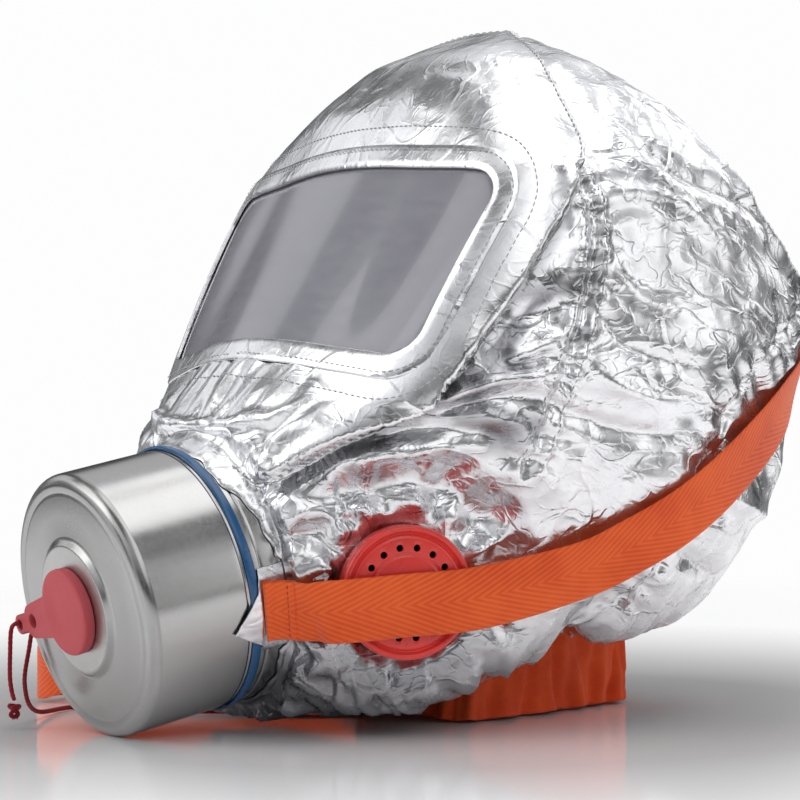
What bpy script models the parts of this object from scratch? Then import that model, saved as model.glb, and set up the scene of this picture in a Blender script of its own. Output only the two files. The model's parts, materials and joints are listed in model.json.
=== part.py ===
"""Filter smoke hood, as the separate pieces it is assembled from.

Metres, +Z up. The filter canister faces -Y and the wearer's left is +X. The hood
stands on a table as it is set down: the canister leans forward on its front edge
and the neck collar rests under the hood.
"""

import math

import bmesh
import bpy
from mathutils import Vector

# ---------------------------------------------------------------- dimensions

# Moves the whole assembly so that the middle of its box is on the origin.
SHIFT = Vector((0.0125, 0.0019, 0.0))

# filter canister
CAN_RADIUS = 0.054
CAN_EDGE = 0.005
CAN_FACE_RADIUS = CAN_RADIUS - CAN_EDGE
CAN_TILT = math.radians(12.3)
CAN_FACE_Y = -0.1685
CAN_FACE_Z = CAN_FACE_RADIUS * math.cos(CAN_TILT) + CAN_EDGE * (1 - math.sin(CAN_TILT))
CAN_JOINT = 0.048
CAN_LENGTH = 0.072
SHEET = 0.0008
SEAT_RADIUS = 0.0255
SEAT_RISE = 0.0035
INLET_RADIUS = 0.0125
OUTLET_RADIUS = 0.0150
NECK_RADIUS = 0.0190
NECK_END = 0.084
RING_WIDTH = 0.0040
BED_RADIUS = 0.0519

# red rubber plugs
PLUG_RADIUS = 0.0175
PLUG_THICK = 0.0048
PLUG_LUG_ANGLE = math.radians(190)
LUG_HOLE_AT = 0.0310
LUG_EYE_AT = 0.0435
EYE_RADIUS = 0.0042

# half mask
MASK_WALL = 0.0018

# exhalation valves: centre of the cover's face on the wearer's left
VALVE = Vector((0.0825, -0.0675, 0.0585))
VALVE_AXIS = Vector((math.sin(math.radians(72)), -math.cos(math.radians(72)), -0.04))
COVER_RADIUS = 0.0268
COVER_HOLES = 16
COVER_HOLE_RADIUS = 0.00145
COVER_HOLE_CIRCLE = 0.0180
HOOD_BEHIND_COVER = 0.0095

# hood
FOIL = 0.0010
WINDOW_CENTRE = Vector((0.0, -0.050, 0.184))
WINDOW_LEAN = math.radians(32)
WINDOW_HALF_WIDTH = 0.098
WINDOW_HALF_HEIGHT = 0.0425
WINDOW_CORNER = 0.014
FILM = 0.0005
SURROUND_WIDTH = 0.011
HOOD_AROUND = 40
HOOD_UP = 26

# straps
STRAP_WIDTH = 0.025
STRAP_THICK = 0.0015
STRAP_END_ANGLE = math.radians(-12)

# how far each strap stands off the canister's side, by depth, where it leaves it
STRAP_LEAVES = ((0, 0.0508), (0.0006, 0.0545), (0.0046, 0.0588), (0.0118, 0.0628))

# tether
CORD_RADIUS = 0.0010

# Half of the hood, front centre to rear centre by way of the wearer's left, from
# the neck edge up to the crown.
HOOD_ROWS = (
    ((0, -.020, .018), (.026, -.020, .018), (.043, -.008, .020), (.041, .030, .034), (.033, .064, .044), (.018, .092, .046), (0, .100, .046)),
    ((0, -.062, .008), (.034, -.060, .009), (.058, -.038, .012), (.066, .002, .026), (.062, .042, .034), (.042, .088, .038), (0, .104, .040)),
    ((0, -.090, .006), (.046, -.086, .014), (.068, -.060, .018), (.084, -.004, .030), (.088, .044, .038), (.066, .092, .048), (0, .122, .054)),
    ((0, -.102, .042), (.058, -.097, .045), (.075, -.062, .046), (.099, .004, .054), (.106, .052, .062), (.078, .104, .070), (0, .140, .076)),
    ((0, -.1105, .080), (.060, -.104, .082), (.080, -.063, .084), (.111, .004, .088), (.115, .060, .092), (.083, .118, .098), (0, .152, .102)),
    ((0, -.121, .1195), (.057, -.110, .119), (.094, -.070, .118), (.119, .004, .124), (.118, .068, .130), (.084, .128, .136), (0, .160, .140)),
    ((0, -.0915, .160), (.050, -.085, .157), (.100, -.068, .150), (.122, .002, .158), (.119, .072, .166), (.084, .136, .172), (0, .163, .176)),
    ((0, -.048, .232), (.050, -.044, .229), (.104, -.034, .220), (.117, .012, .216), (.110, .070, .218), (.078, .120, .222), (0, .150, .228)),
    ((0, -.030, .262), (.048, -.026, .260), (.088, -.012, .252), (.097, .030, .248), (.090, .072, .246), (.060, .106, .248), (0, .132, .252)),
    ((0, .000, .286), (.036, .004, .285), (.060, .018, .279), (.067, .044, .273), (.060, .074, .268), (.038, .094, .265), (0, .106, .265)),
    ((0, .048, .2955),) * 7,
)

# Neck collar, in the same order, from its sewn top to its hem.
COLLAR_ROWS = (
    ((0, -.016, .027), (.024, -.016, .027), (.039, -.005, .028), (.037, .030, .040), (.029, .062, .049), (.016, .087, .051), (0, .094, .051)),
    ((0, -.017, .020), (.025, -.016, .018), (.040, -.006, .018), (.036, .030, .026), (.027, .064, .032), (.014, .092, .034), (0, .098, .034)),
    ((0, -.018, .0050), (.026, -.016, .0014), (.0405, -.0065, .0002), (.032, .030, .0006), (.020, .066, .0002), (.012, .094, .0002), (0, .102, .0006)),
)

# Depth behind the canister's face, half width and half height of the half mask.
MASK_RINGS = (
    (.0748, .0215, .0215),
    (.0748, .0300, .0300),
    (.0780, .0400, .0360),
    (.0860, .0465, .0420),
    (.1020, .0485, .0480),
    (.1200, .0465, .0520),
    (.1370, .0430, .0535),
    (.1450, .0400, .0515),
    (.1470, .0350, .0465),
    (.1450, .0300, .0410),
)

# Tether from the front plug's eye, over the table, under the collar's hem, over the
# half mask's lip and into the inner plug's lug.
TETHER_POINTS = (
    (-.0428, -.1730, .0431),
    (-.0433, -.1690, .0420),
    (-.0465, -.1684, .0340),
    (-.0560, -.1660, .0170),
    (-.0700, -.1540, .0040),
    (-.0990, -.1210, .0012),
    (-.0760, -.1010, .0012),
    (-.0540, -.0840, .0012),
    (-.0370, -.0600, .0012),
    (-.0220, -.0370, .0012),
    (-.0080, -.0190, .0012),
    (-.0010, -.0040, .0040),
    (.0000, .0020, .0180),
    (.0000, -.0010, .0350),
    (.0000, -.0100, .0446),
    (.0000, -.0180, .0454),
    (.0000, -.0280, .0436),
    (.0000, -.0390, .0420),
    (.0000, -.0510, .0425),
    (.0000, -.0620, .0453),
    (.0000, -.0700, .0478),
    (.0000, -.0755, .0484),
    (.0000, -.0796, .0477),
)
TAIL_POINTS = (
    (-.0428, -.1740, .0433),
    (-.0429, -.1772, .0430),
    (-.0436, -.1783, .0400),
    (-.0460, -.1775, .0310),
    (-.0492, -.1760, .0210),
    (-.0485, -.1755, .0150),
    (-.0460, -.1755, .0115),
)

# Far strap, hanging slack: along its middle, with the way its face points.
SLACK_STRAP = (
    ((-.0820, -.0985, .0460), (-.70, -.70, 0)),
    ((-.0950, -.1000, .0360), (.10, -1.0, -.1)),
    ((-.1110, -.1090, .0240), (.35, -.94, -.1)),
    ((-.1310, -.1190, .0150), (.20, -.98, 0)),
    ((-.1440, -.1140, .0140), (-.90, -.43, 0)),
    ((-.1480, -.0900, .0140), (-1.0, -.10, 0)),
    ((-.1480, -.0500, .0140), (-1.0, .0, 0)),
    ((-.1450, -.0100, .0145), (-1.0, .05, 0)),
    ((-.1400, .0300, .0260), (-1.0, .10, .1)),
    ((-.1320, .0680, .0560), (-.97, .30, .1)),
    ((-.1160, .1020, .0960), (-.85, .50, .1)),
    ((-.0850, .1370, .1350), (-.70, .70, 0)),
)


# ---------------------------------------------------------------- helpers

def clear_scene():
    for obj in list(bpy.data.objects):
        bpy.data.objects.remove(obj, do_unlink=True)


clear_scene()
PARTS = bpy.data.collections.new("smoke_hood")
CUTTERS = bpy.data.collections.new("cutters")
bpy.context.scene.collection.children.link(PARTS)
bpy.context.scene.collection.children.link(CUTTERS)


def material(name, colour, metallic=0.0, roughness=0.5):
    mat = bpy.data.materials.new(name)
    mat.use_nodes = True
    shader = mat.node_tree.nodes["Principled BSDF"]
    shader.inputs["Base Color"].default_value = (*colour, 1.0)
    shader.inputs["Metallic"].default_value = metallic
    shader.inputs["Roughness"].default_value = roughness
    mat.diffuse_color = (*colour, 1.0)
    return mat


STEEL = material("canister_steel", (0.62, 0.61, 0.60), 1.0, 0.28)
FOIL_CLOTH = material("aluminised_cloth", (0.80, 0.80, 0.82), 0.9, 0.25)
BLUE_TAPE = material("blue_tape", (0.02, 0.22, 0.42), 0.0, 0.4)
RED_RUBBER = material("red_rubber", (0.52, 0.05, 0.07), 0.0, 0.6)
RED_PLASTIC = material("red_plastic", (0.70, 0.04, 0.03), 0.0, 0.35)
WEBBING = material("orange_webbing", (0.80, 0.13, 0.02), 0.0, 0.8)
COLLAR_CLOTH = material("orange_collar_cloth", (0.72, 0.09, 0.02), 0.0, 0.85)
CORD_RED = material("tether_red", (0.35, 0.02, 0.03), 0.0, 0.7)
SILICONE = material("grey_silicone", (0.30, 0.31, 0.33), 0.0, 0.5)
BLACK_PLASTIC = material("black_plastic", (0.03, 0.03, 0.03), 0.0, 0.4)
CLEAR_FILM = material("clear_film", (0.55, 0.56, 0.60), 0.0, 0.1)
CARBON = material("catalyst_grains", (0.05, 0.04, 0.04), 0.0, 0.9)
DESICCANT = material("drying_grains", (0.75, 0.72, 0.66), 0.0, 0.9)
FILTER_PAPER = material("filter_paper", (0.85, 0.84, 0.80), 0.0, 0.95)
SPRING_STEEL = material("spring_steel", (0.45, 0.45, 0.46), 1.0, 0.35)


def empty(name, location, rotation=(0, 0, 0), parent=None):
    obj = bpy.data.objects.new(name, None)
    obj.empty_display_size = 0.02
    obj.location = location
    obj.rotation_euler = rotation
    obj.parent = parent
    PARTS.objects.link(obj)
    return obj


def add_part(name, mesh, mat, parent):
    obj = bpy.data.objects.new(name, mesh)
    mesh.materials.append(mat)
    obj.parent = parent
    PARTS.objects.link(obj)
    return obj


def mesh_from(name, points, faces, edges=()):
    mesh = bpy.data.meshes.new(name)
    mesh.from_pydata([tuple(p) for p in points], list(edges), faces)
    mesh.update()
    return mesh


def turned(name, profile, mat, parent, steps=40, location=(0, 0, 0)):
    """Turns a profile of (radius, height) points round the local Z axis."""
    on_axis = profile[0][0] < 1e-6
    points = [(radius, 0, height) for radius, height in profile]
    count = len(points)
    edges = [(i, (i + 1) % count) for i in range(count - 1 if on_axis else count)]
    obj = add_part(name, mesh_from(name, points, [], edges), mat, parent)
    obj.location = location
    screw = obj.modifiers.new("turn", "SCREW")
    screw.steps = steps
    screw.render_steps = steps
    screw.use_merge_vertices = True
    screw.merge_threshold = 0.00001
    screw.use_smooth_shade = False
    return obj


def prism(name, outline, low, high, parent):
    """A cutter: an outline of (x, y) points, anticlockwise, drawn from low to high."""
    count = len(outline)
    points = [(x, y, low) for x, y in outline] + [(x, y, high) for x, y in outline]
    faces = [tuple(reversed(range(count))), tuple(range(count, 2 * count))]
    for i in range(count):
        j = (i + 1) % count
        faces.append((i, j, count + j, count + i))
    obj = bpy.data.objects.new(name, mesh_from(name, points, faces))
    obj.parent = parent
    obj.hide_render = True
    obj.display_type = "WIRE"
    CUTTERS.objects.link(obj)
    return obj


def circle(radius, count, centre=(0, 0)):
    step = 2 * math.pi / count
    return [
        (centre[0] + radius * math.cos(i * step), centre[1] + radius * math.sin(i * step))
        for i in range(count)
    ]


def rounded_rectangle(half_x, half_y, corner, per_corner=5):
    outline = []
    for quarter, (sx, sy) in enumerate(((1, 1), (-1, 1), (-1, -1), (1, -1))):
        for i in range(per_corner):
            angle = math.pi / 2 * (quarter + i / (per_corner - 1))
            outline.append((
                sx * (half_x - corner) + corner * math.cos(angle),
                sy * (half_y - corner) + corner * math.sin(angle),
            ))
    return outline


def boolean(obj, cutter, operation="DIFFERENCE"):
    modifier = obj.modifiers.new(operation.lower(), "BOOLEAN")
    modifier.operation = operation
    modifier.solver = "EXACT"
    modifier.object = cutter


def thicken(obj, thickness):
    """Gives a one-sided surface its thickness, inward from the side it faces."""
    modifier = obj.modifiers.new("thickness", "SOLIDIFY")
    modifier.thickness = thickness
    modifier.offset = -1
    modifier.use_even_offset = True
    modifier.use_rim = True


def between(p0, p1, p2, p3, t):
    """A smooth curve through p1 and p2."""
    return 0.5 * (
        2 * p1
        + (p2 - p0) * t
        + (2 * p0 - 5 * p1 + 4 * p2 - p3) * t * t
        + (3 * p1 - p0 - 3 * p2 + p3) * t * t * t
    )


def smooth_line(points, per_span):
    line = [Vector(p) for p in points]
    ends = [2 * line[0] - line[1]] + line + [2 * line[-1] - line[-2]]
    found = []
    for i in range(len(line) - 1):
        for k in range(per_span):
            found.append(between(*ends[i:i + 4], k / per_span))
    found.append(line[-1])
    return found


def ease(value, low, high):
    t = min(max((value - low) / (high - low), 0.0), 1.0)
    return t * t * (3 - 2 * t)


def press_flat(point, centre, axis, depth, inner, outer, reach):
    """Pulls a wall that crosses an axis onto the plane at this depth behind centre."""
    away = point - centre
    along = away.dot(axis)
    radius = (away - along * axis).length
    miss = along + depth
    share = (1 - ease(radius, inner, outer)) * (1 - ease(abs(miss), reach, 1.8 * reach))
    return point - axis * (miss * share)


def closed_ring(half):
    """The whole loop of control points from its left half."""
    left = [Vector(p) for p in half]
    right = [Vector((-p.x, p.y, p.z)) for p in reversed(left[1:-1])]
    return left + right


def on_ring(ring, u):
    count = len(ring)
    i = int(math.floor(u))
    near = [ring[(i + k) % count] for k in (-1, 0, 1, 2)]
    return between(*near, u - i)


# ---------------------------------------------------------------- frames

ROOT = empty("smoke_hood_root", SHIFT)

# Local Z points out of the canister's face and local Y points up its face.
CANISTER = empty(
    "canister_axis",
    (0, CAN_FACE_Y, CAN_FACE_Z),
    (math.pi / 2 + CAN_TILT, 0, 0),
    ROOT,
)
CAN_OUT = Vector((0, -math.cos(CAN_TILT), -math.sin(CAN_TILT)))
CAN_UP = Vector((0, -math.sin(CAN_TILT), math.cos(CAN_TILT)))
CAN_FACE = Vector((0, CAN_FACE_Y, CAN_FACE_Z))


def can_point(x, up, depth):
    """A point given in the canister's own frame."""
    return CAN_FACE + Vector((x, 0, 0)) + CAN_UP * up - CAN_OUT * depth


VALVE_AXIS = VALVE_AXIS.normalized()
VALVE_CENTRES = {"left": VALVE, "right": Vector((-VALVE.x, VALVE.y, VALVE.z))}
VALVE_AXES = {
    "left": VALVE_AXIS,
    "right": Vector((-VALVE_AXIS.x, VALVE_AXIS.y, VALVE_AXIS.z)),
}
VALVE_FRAMES = {
    side: empty(
        "valve_axis_" + side,
        VALVE_CENTRES[side],
        VALVE_AXES[side].to_track_quat("Z", "Y").to_euler(),
        ROOT,
    )
    for side in ("left", "right")
}
WINDOW_FRAME = empty("window_axis", WINDOW_CENTRE, (math.pi / 2 - WINDOW_LEAN, 0, 0), ROOT)


# ---------------------------------------------------------------- canister

def build_canister():
    edge = [
        (CAN_FACE_RADIUS + CAN_EDGE * math.sin(a), -CAN_EDGE * (1 - math.cos(a)))
        for a in (0, math.radians(30), math.radians(60), math.radians(90))
    ]
    inner_edge = [
        (CAN_FACE_RADIUS + (CAN_EDGE - SHEET) * math.sin(a), -SHEET - (CAN_EDGE - SHEET) * (1 - math.cos(a)))
        for a in (math.radians(90), math.radians(45), 0)
    ]
    front = (
        [(INLET_RADIUS, SEAT_RISE - 0.0003), (PLUG_RADIUS + 0.0007, SEAT_RISE - 0.0003)]
        + [(PLUG_RADIUS + 0.0010, SEAT_RISE), (SEAT_RADIUS, SEAT_RISE)]
        + [(SEAT_RADIUS + 0.0035, 0.0008)]
        + edge
        + [(CAN_RADIUS, -CAN_JOINT + 0.0003), (CAN_RADIUS - SHEET, -CAN_JOINT + 0.0003)]
        + inner_edge
        + [(SEAT_RADIUS + 0.0028, -0.0002), (SEAT_RADIUS - 0.0004, SEAT_RISE - SHEET)]
        + [(INLET_RADIUS + SHEET, SEAT_RISE - SHEET - 0.0003), (INLET_RADIUS + SHEET, -0.0060)]
        + [(INLET_RADIUS, -0.0060)]
    )
    turned("canister_front_shell", front, STEEL, CANISTER, 48)

    lip = CAN_RADIUS - SHEET - 0.0003
    rear = [
        (lip, -CAN_JOINT + 0.0060),
        (lip, -CAN_JOINT - 0.0003),
        (CAN_RADIUS, -CAN_JOINT - 0.0003),
        (CAN_RADIUS, -CAN_LENGTH + 0.0050),
        (CAN_RADIUS - 0.0015, -CAN_LENGTH + 0.0015),
        (CAN_RADIUS - 0.0050, -CAN_LENGTH),
        (NECK_RADIUS, -CAN_LENGTH),
        (NECK_RADIUS, -NECK_END),
        (OUTLET_RADIUS, -NECK_END),
        (OUTLET_RADIUS, -CAN_LENGTH + SHEET),
        (CAN_RADIUS - 0.0053, -CAN_LENGTH + SHEET),
        (CAN_RADIUS - 0.0022, -CAN_LENGTH + 0.0021),
        (CAN_RADIUS - SHEET - 0.0009, -CAN_LENGTH + 0.0054),
        (lip - 0.0006, -CAN_JOINT + 0.0060),
    ]
    turned("canister_rear_shell", rear, STEEL, CANISTER, 48)

    half = RING_WIDTH / 2
    ring_in = CAN_RADIUS + 0.0003
    ring_out = CAN_RADIUS + 0.0012
    ring = [
        (ring_in, -CAN_JOINT + half),
        (ring_out, -CAN_JOINT + half),
        (ring_out, -CAN_JOINT - half),
        (ring_in, -CAN_JOINT - half),
    ]
    turned("blue_seal_ring", ring, BLUE_TAPE, CANISTER, 48)

    for name, start, end, mat in (
        ("inlet_screen", 0.0100, 0.0108, SPRING_STEEL),
        ("drying_bed_front", 0.0242, 0.0320, DESICCANT),
        ("catalyst_bed", 0.0325, 0.0500, CARBON),
        ("drying_bed_rear", 0.0505, 0.0580, DESICCANT),
        ("outlet_screen", 0.0585, 0.0595, SPRING_STEEL),
    ):
        disc = [(0, -start), (BED_RADIUS, -start), (BED_RADIUS, -end), (0, -end)]
        turned(name, disc, mat, CANISTER)

    # The particulate filter is pleated in rings.
    pleats = 5
    top = [(0, -0.0120)]
    bottom = [(0, -0.0215)]
    for i in range(1, 2 * pleats):
        radius = BED_RADIUS * i / (2 * pleats)
        dip = 0.0020 if i % 2 else 0.0
        top.append((radius, -0.0120 - dip))
        bottom.append((radius, -0.0215 - dip))
    top.append((BED_RADIUS, -0.0120))
    bottom.append((BED_RADIUS, -0.0215))
    turned("particulate_filter", top + bottom[::-1], FILTER_PAPER, CANISTER, 28)

    # Wave spring that keeps the beds packed.
    ring_count = 48
    wire = 0.0010
    path = []
    for i in range(ring_count):
        angle = 2 * math.pi * i / ring_count
        wave = -0.0650 + 0.0035 * math.cos(4 * angle)
        path.append(Vector((0.0400 * math.cos(angle), 0.0400 * math.sin(angle), wave)))
    points = []
    faces = []
    for i, centre in enumerate(path):
        out = Vector((centre.x, centre.y, 0)).normalized()
        for a in range(6):
            turn = math.pi / 3 * a
            points.append(centre + out * (wire * math.cos(turn)) + Vector((0, 0, wire * math.sin(turn))))
    for i in range(ring_count):
        j = (i + 1) % ring_count
        for a in range(6):
            b = (a + 1) % 6
            faces.append((i * 6 + a, j * 6 + a, j * 6 + b, i * 6 + b))
    add_part("bed_spring", mesh_from("bed_spring", points, faces), SPRING_STEEL, CANISTER)

    gasket = [(NECK_RADIUS + 0.0004, -0.0723), (0.0290, -0.0723), (0.0290, -0.0743), (NECK_RADIUS + 0.0004, -0.0743)]
    turned("mask_gasket", gasket, SILICONE, CANISTER)
    nut = [
        (NECK_RADIUS + 0.0004, -0.0772),
        (0.0265, -0.0772),
        (0.0265, -0.0795),
        (0.0240, -0.0825),
        (NECK_RADIUS + 0.0004, -0.0825),
    ]
    turned("mask_nut", nut, BLACK_PLASTIC, CANISTER)


def lug(outline_angle, half_width, hole_at, eye_at):
    """Outline of a plug's disc with its pull lug and the small eye beyond it."""
    side = math.asin(half_width / PLUG_RADIUS)
    outline = []
    count = 26
    for i in range(count + 1):
        angle = side + (2 * math.pi - 2 * side) * i / count
        outline.append((PLUG_RADIUS * math.cos(angle), PLUG_RADIUS * math.sin(angle)))
    for i in range(7):
        angle = -math.pi / 2 + 0.35 + (math.pi / 2 - 0.35 - math.radians(30)) * i / 6
        outline.append((hole_at + half_width * math.cos(angle), half_width * math.sin(angle)))
    if eye_at:
        for i in range(9):
            angle = math.radians(-125 + 250 * i / 8)
            outline.append((eye_at + EYE_RADIUS * math.cos(angle), EYE_RADIUS * math.sin(angle)))
    for i in range(7):
        angle = math.radians(30) + (math.pi / 2 - 0.35 - math.radians(30)) * i / 6
        outline.append((hole_at + half_width * math.cos(angle), half_width * math.sin(angle)))
    cos, sin = math.cos(outline_angle), math.sin(outline_angle)
    return [(x * cos - y * sin, x * sin + y * cos) for x, y in outline]


def build_plug(name, low, high, stem_radius, stem_end, angle, hole_at, eye_at, inside):
    """A rubber plug: disc and lug from low to high, and a stem into its hole."""
    outline = lug(angle, 0.0072, hole_at, eye_at)
    stem = circle(stem_radius, 28)
    base = high if inside else low
    mesh = bmesh.new()
    for ring_of, bottom, top in ((outline, low, high), (stem, min(base, stem_end), max(base, stem_end))):
        lower = [mesh.verts.new((x, y, bottom)) for x, y in ring_of]
        upper = [mesh.verts.new((x, y, top)) for x, y in ring_of]
        mesh.faces.new(lower[::-1])
        mesh.faces.new(upper)
        for i in range(len(ring_of)):
            j = (i + 1) % len(ring_of)
            mesh.faces.new((lower[i], lower[j], upper[j], upper[i]))
        if ring_of is outline:
            disc_mesh = bpy.data.meshes.new(name)
            mesh.to_mesh(disc_mesh)
            mesh.clear()
    stem_mesh = bpy.data.meshes.new(name + "_stem")
    mesh.to_mesh(stem_mesh)
    mesh.free()
    obj = add_part(name, disc_mesh, RED_RUBBER, CANISTER)
    stem_obj = bpy.data.objects.new(name + "_stem_form", stem_mesh)
    stem_obj.parent = CANISTER
    stem_obj.hide_render = True
    stem_obj.display_type = "WIRE"
    CUTTERS.objects.link(stem_obj)
    if inside:
        stem_obj.location = (0, 0, -0.0004)
    else:
        stem_obj.location = (0, 0, 0.0004)
    boolean(obj, stem_obj, "UNION")
    cos, sin = math.cos(angle), math.sin(angle)
    for at, radius in ((hole_at, 0.0030), (eye_at, 0.0023)):
        if at:
            hole = prism(
                f"{name}_hole_{round(at * 10000)}",
                circle(radius, 14, (at * cos, at * sin)),
                low - 0.003,
                high + 0.003,
                CANISTER,
            )
            boolean(obj, hole)


def build_plugs():
    low = SEAT_RISE + 0.0003
    build_plug(
        "inlet_plug", low, low + PLUG_THICK, INLET_RADIUS - 0.0004, -0.0040,
        PLUG_LUG_ANGLE, LUG_HOLE_AT, LUG_EYE_AT, False,
    )
    high = -NECK_END - 0.0003
    build_plug(
        "outlet_plug", high - 0.0035, high, OUTLET_RADIUS - 0.0004, -NECK_END + 0.0070,
        math.radians(270), 0.0230, 0, True,
    )


# ---------------------------------------------------------------- half mask

def build_mask():
    around = 30
    points = []
    for depth, half_x, half_y in MASK_RINGS:
        for i in range(around):
            angle = 2 * math.pi * i / around
            points.append((half_x * math.sin(angle), half_y * math.cos(angle), -depth))
    faces = []
    for row in range(len(MASK_RINGS) - 1):
        for i in range(around):
            j = (i + 1) % around
            low = row * around
            faces.append((low + i, low + j, low + around + j, low + around + i))
    mask = add_part("half_mask", mesh_from("half_mask", points, faces), SILICONE, CANISTER)
    thicken(mask, MASK_WALL)
    for side in ("left", "right"):
        port = prism("mask_port_" + side, circle(0.0173, 28), -0.050, -0.012, VALVE_FRAMES[side])
        boolean(mask, port)


def build_valves():
    wall = -HOOD_BEHIND_COVER
    for side in ("left", "right"):
        frame = VALVE_FRAMES[side]
        body = [
            (0.0160, -0.0042),
            (0.0160, -0.0052),
            (0.0236, -0.0052),
            (0.0236, wall + 0.0006),
            (0.0168, wall + 0.0006),
            (0.0168, -0.0400),
            (0.0150, -0.0400),
            (0.0150, -0.0060),
            (0.0122, -0.0060),
            (0.0122, -0.0042),
        ]
        turned("valve_body_" + side, body, BLACK_PLASTIC, frame, 36)
        nut = [
            (0.0172, wall - FOIL - 0.0012),
            (0.0225, wall - FOIL - 0.0012),
            (0.0225, wall - FOIL - 0.0042),
            (0.0172, wall - FOIL - 0.0042),
        ]
        turned("valve_nut_" + side, nut, BLACK_PLASTIC, frame, 36)
        flap = [(0, -0.0030), (0.0150, -0.0030), (0.0150, -0.0038), (0, -0.0038)]
        turned("valve_flap_" + side, flap, SILICONE, frame, 36)
        cover = [
            (0, 0.0),
            (0.0222, 0.0),
            (0.0232, -0.0006),
            (0.0242, 0.0004),
            (COVER_RADIUS - 0.0006, 0.0004),
            (COVER_RADIUS, -0.0002),
            (COVER_RADIUS, -0.0080),
            (0.0240, -0.0080),
            (0.0240, -0.0016),
            (0, -0.0016),
        ]
        shell = turned("valve_cover_" + side, cover, RED_PLASTIC, frame, 40)
        bits = []
        for i in range(COVER_HOLES):
            angle = 2 * math.pi * (i + 0.5) / COVER_HOLES
            centre = (COVER_HOLE_CIRCLE * math.cos(angle), COVER_HOLE_CIRCLE * math.sin(angle))
            bits.append(circle(COVER_HOLE_RADIUS, 6, centre))
        points = []
        faces = []
        for outline in bits:
            start = len(points)
            count = len(outline)
            points += [(x, y, -0.004) for x, y in outline] + [(x, y, 0.004) for x, y in outline]
            faces.append(tuple(reversed(range(start, start + count))))
            faces.append(tuple(range(start + count, start + 2 * count)))
            for a in range(count):
                b = (a + 1) % count
                faces.append((start + a, start + b, start + count + b, start + count + a))
        drill = bpy.data.objects.new("cover_drill_" + side, mesh_from("cover_drill", points, faces))
        drill.parent = frame
        drill.hide_render = True
        drill.display_type = "WIRE"
        CUTTERS.objects.link(drill)
        boolean(shell, drill)


# ---------------------------------------------------------------- hood

HOOD_RINGS = [closed_ring(row) for row in HOOD_ROWS]


def hood_raw(u, v):
    """The hood's outer face: u goes round in 12 spans, v goes up in 10."""
    rows = len(HOOD_RINGS)
    i = min(int(math.floor(v)), rows - 2)
    ring = [on_ring(r, u) for r in HOOD_RINGS]
    below = ring[i - 1] if i > 0 else 2 * ring[0] - ring[1]
    above = ring[i + 2] if i + 2 < rows else on_ring(HOOD_RINGS[rows - 2], u + 6)
    return between(below, ring[i], ring[i + 1], above, v - i)


def hood_at(u, v):
    point = hood_raw(u, v)
    for side in ("left", "right"):
        point = press_flat(point, VALVE_CENTRES[side], VALVE_AXES[side], HOOD_BEHIND_COVER, 0.040, 0.058, 0.018)
    if v < 5.2:
        point = press_flat(point, CAN_FACE, CAN_OUT, 0.0632, 0.062, 0.074, 0.008)
    return point


def hood_out(u, v):
    step = 0.05
    along = hood_at(u + step, v) - hood_at(u - step, v)
    up = hood_at(u, min(v + step, 9.95)) - hood_at(u, max(v - step, 0.0))
    return along.cross(up).normalized()


def grid_point(i, row, lift=0.0):
    """A corner of the hood's grid, or a point the given lift outside it."""
    u = 12 * i / HOOD_AROUND
    v = 10 * row / HOOD_UP
    return hood_at(u, v) + (hood_out(u, v) * lift if lift else Vector())


def cell(a, b, c, d, rising):
    """Two triangles for a cell, split the same way in every layer of the hood."""
    return [(a, b, c), (a, c, d)] if rising else [(a, b, d), (b, c, d)]


def hood_patch(name, reach, rows, lift, mat):
    """A sheet that follows the hood's grid, reach cells to each side of the front."""
    across = 2 * reach + 1
    points = [
        grid_point(i, row, lift)
        for row in range(rows[0], rows[1] + 1)
        for i in range(-reach, reach + 1)
    ]
    faces = []
    for row in range(rows[1] - rows[0]):
        for i in range(2 * reach):
            a = row * across + i
            faces += cell(a, a + 1, a + across + 1, a + across, i >= reach)
    return add_part(name, mesh_from(name, points, faces), mat, ROOT)


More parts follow.
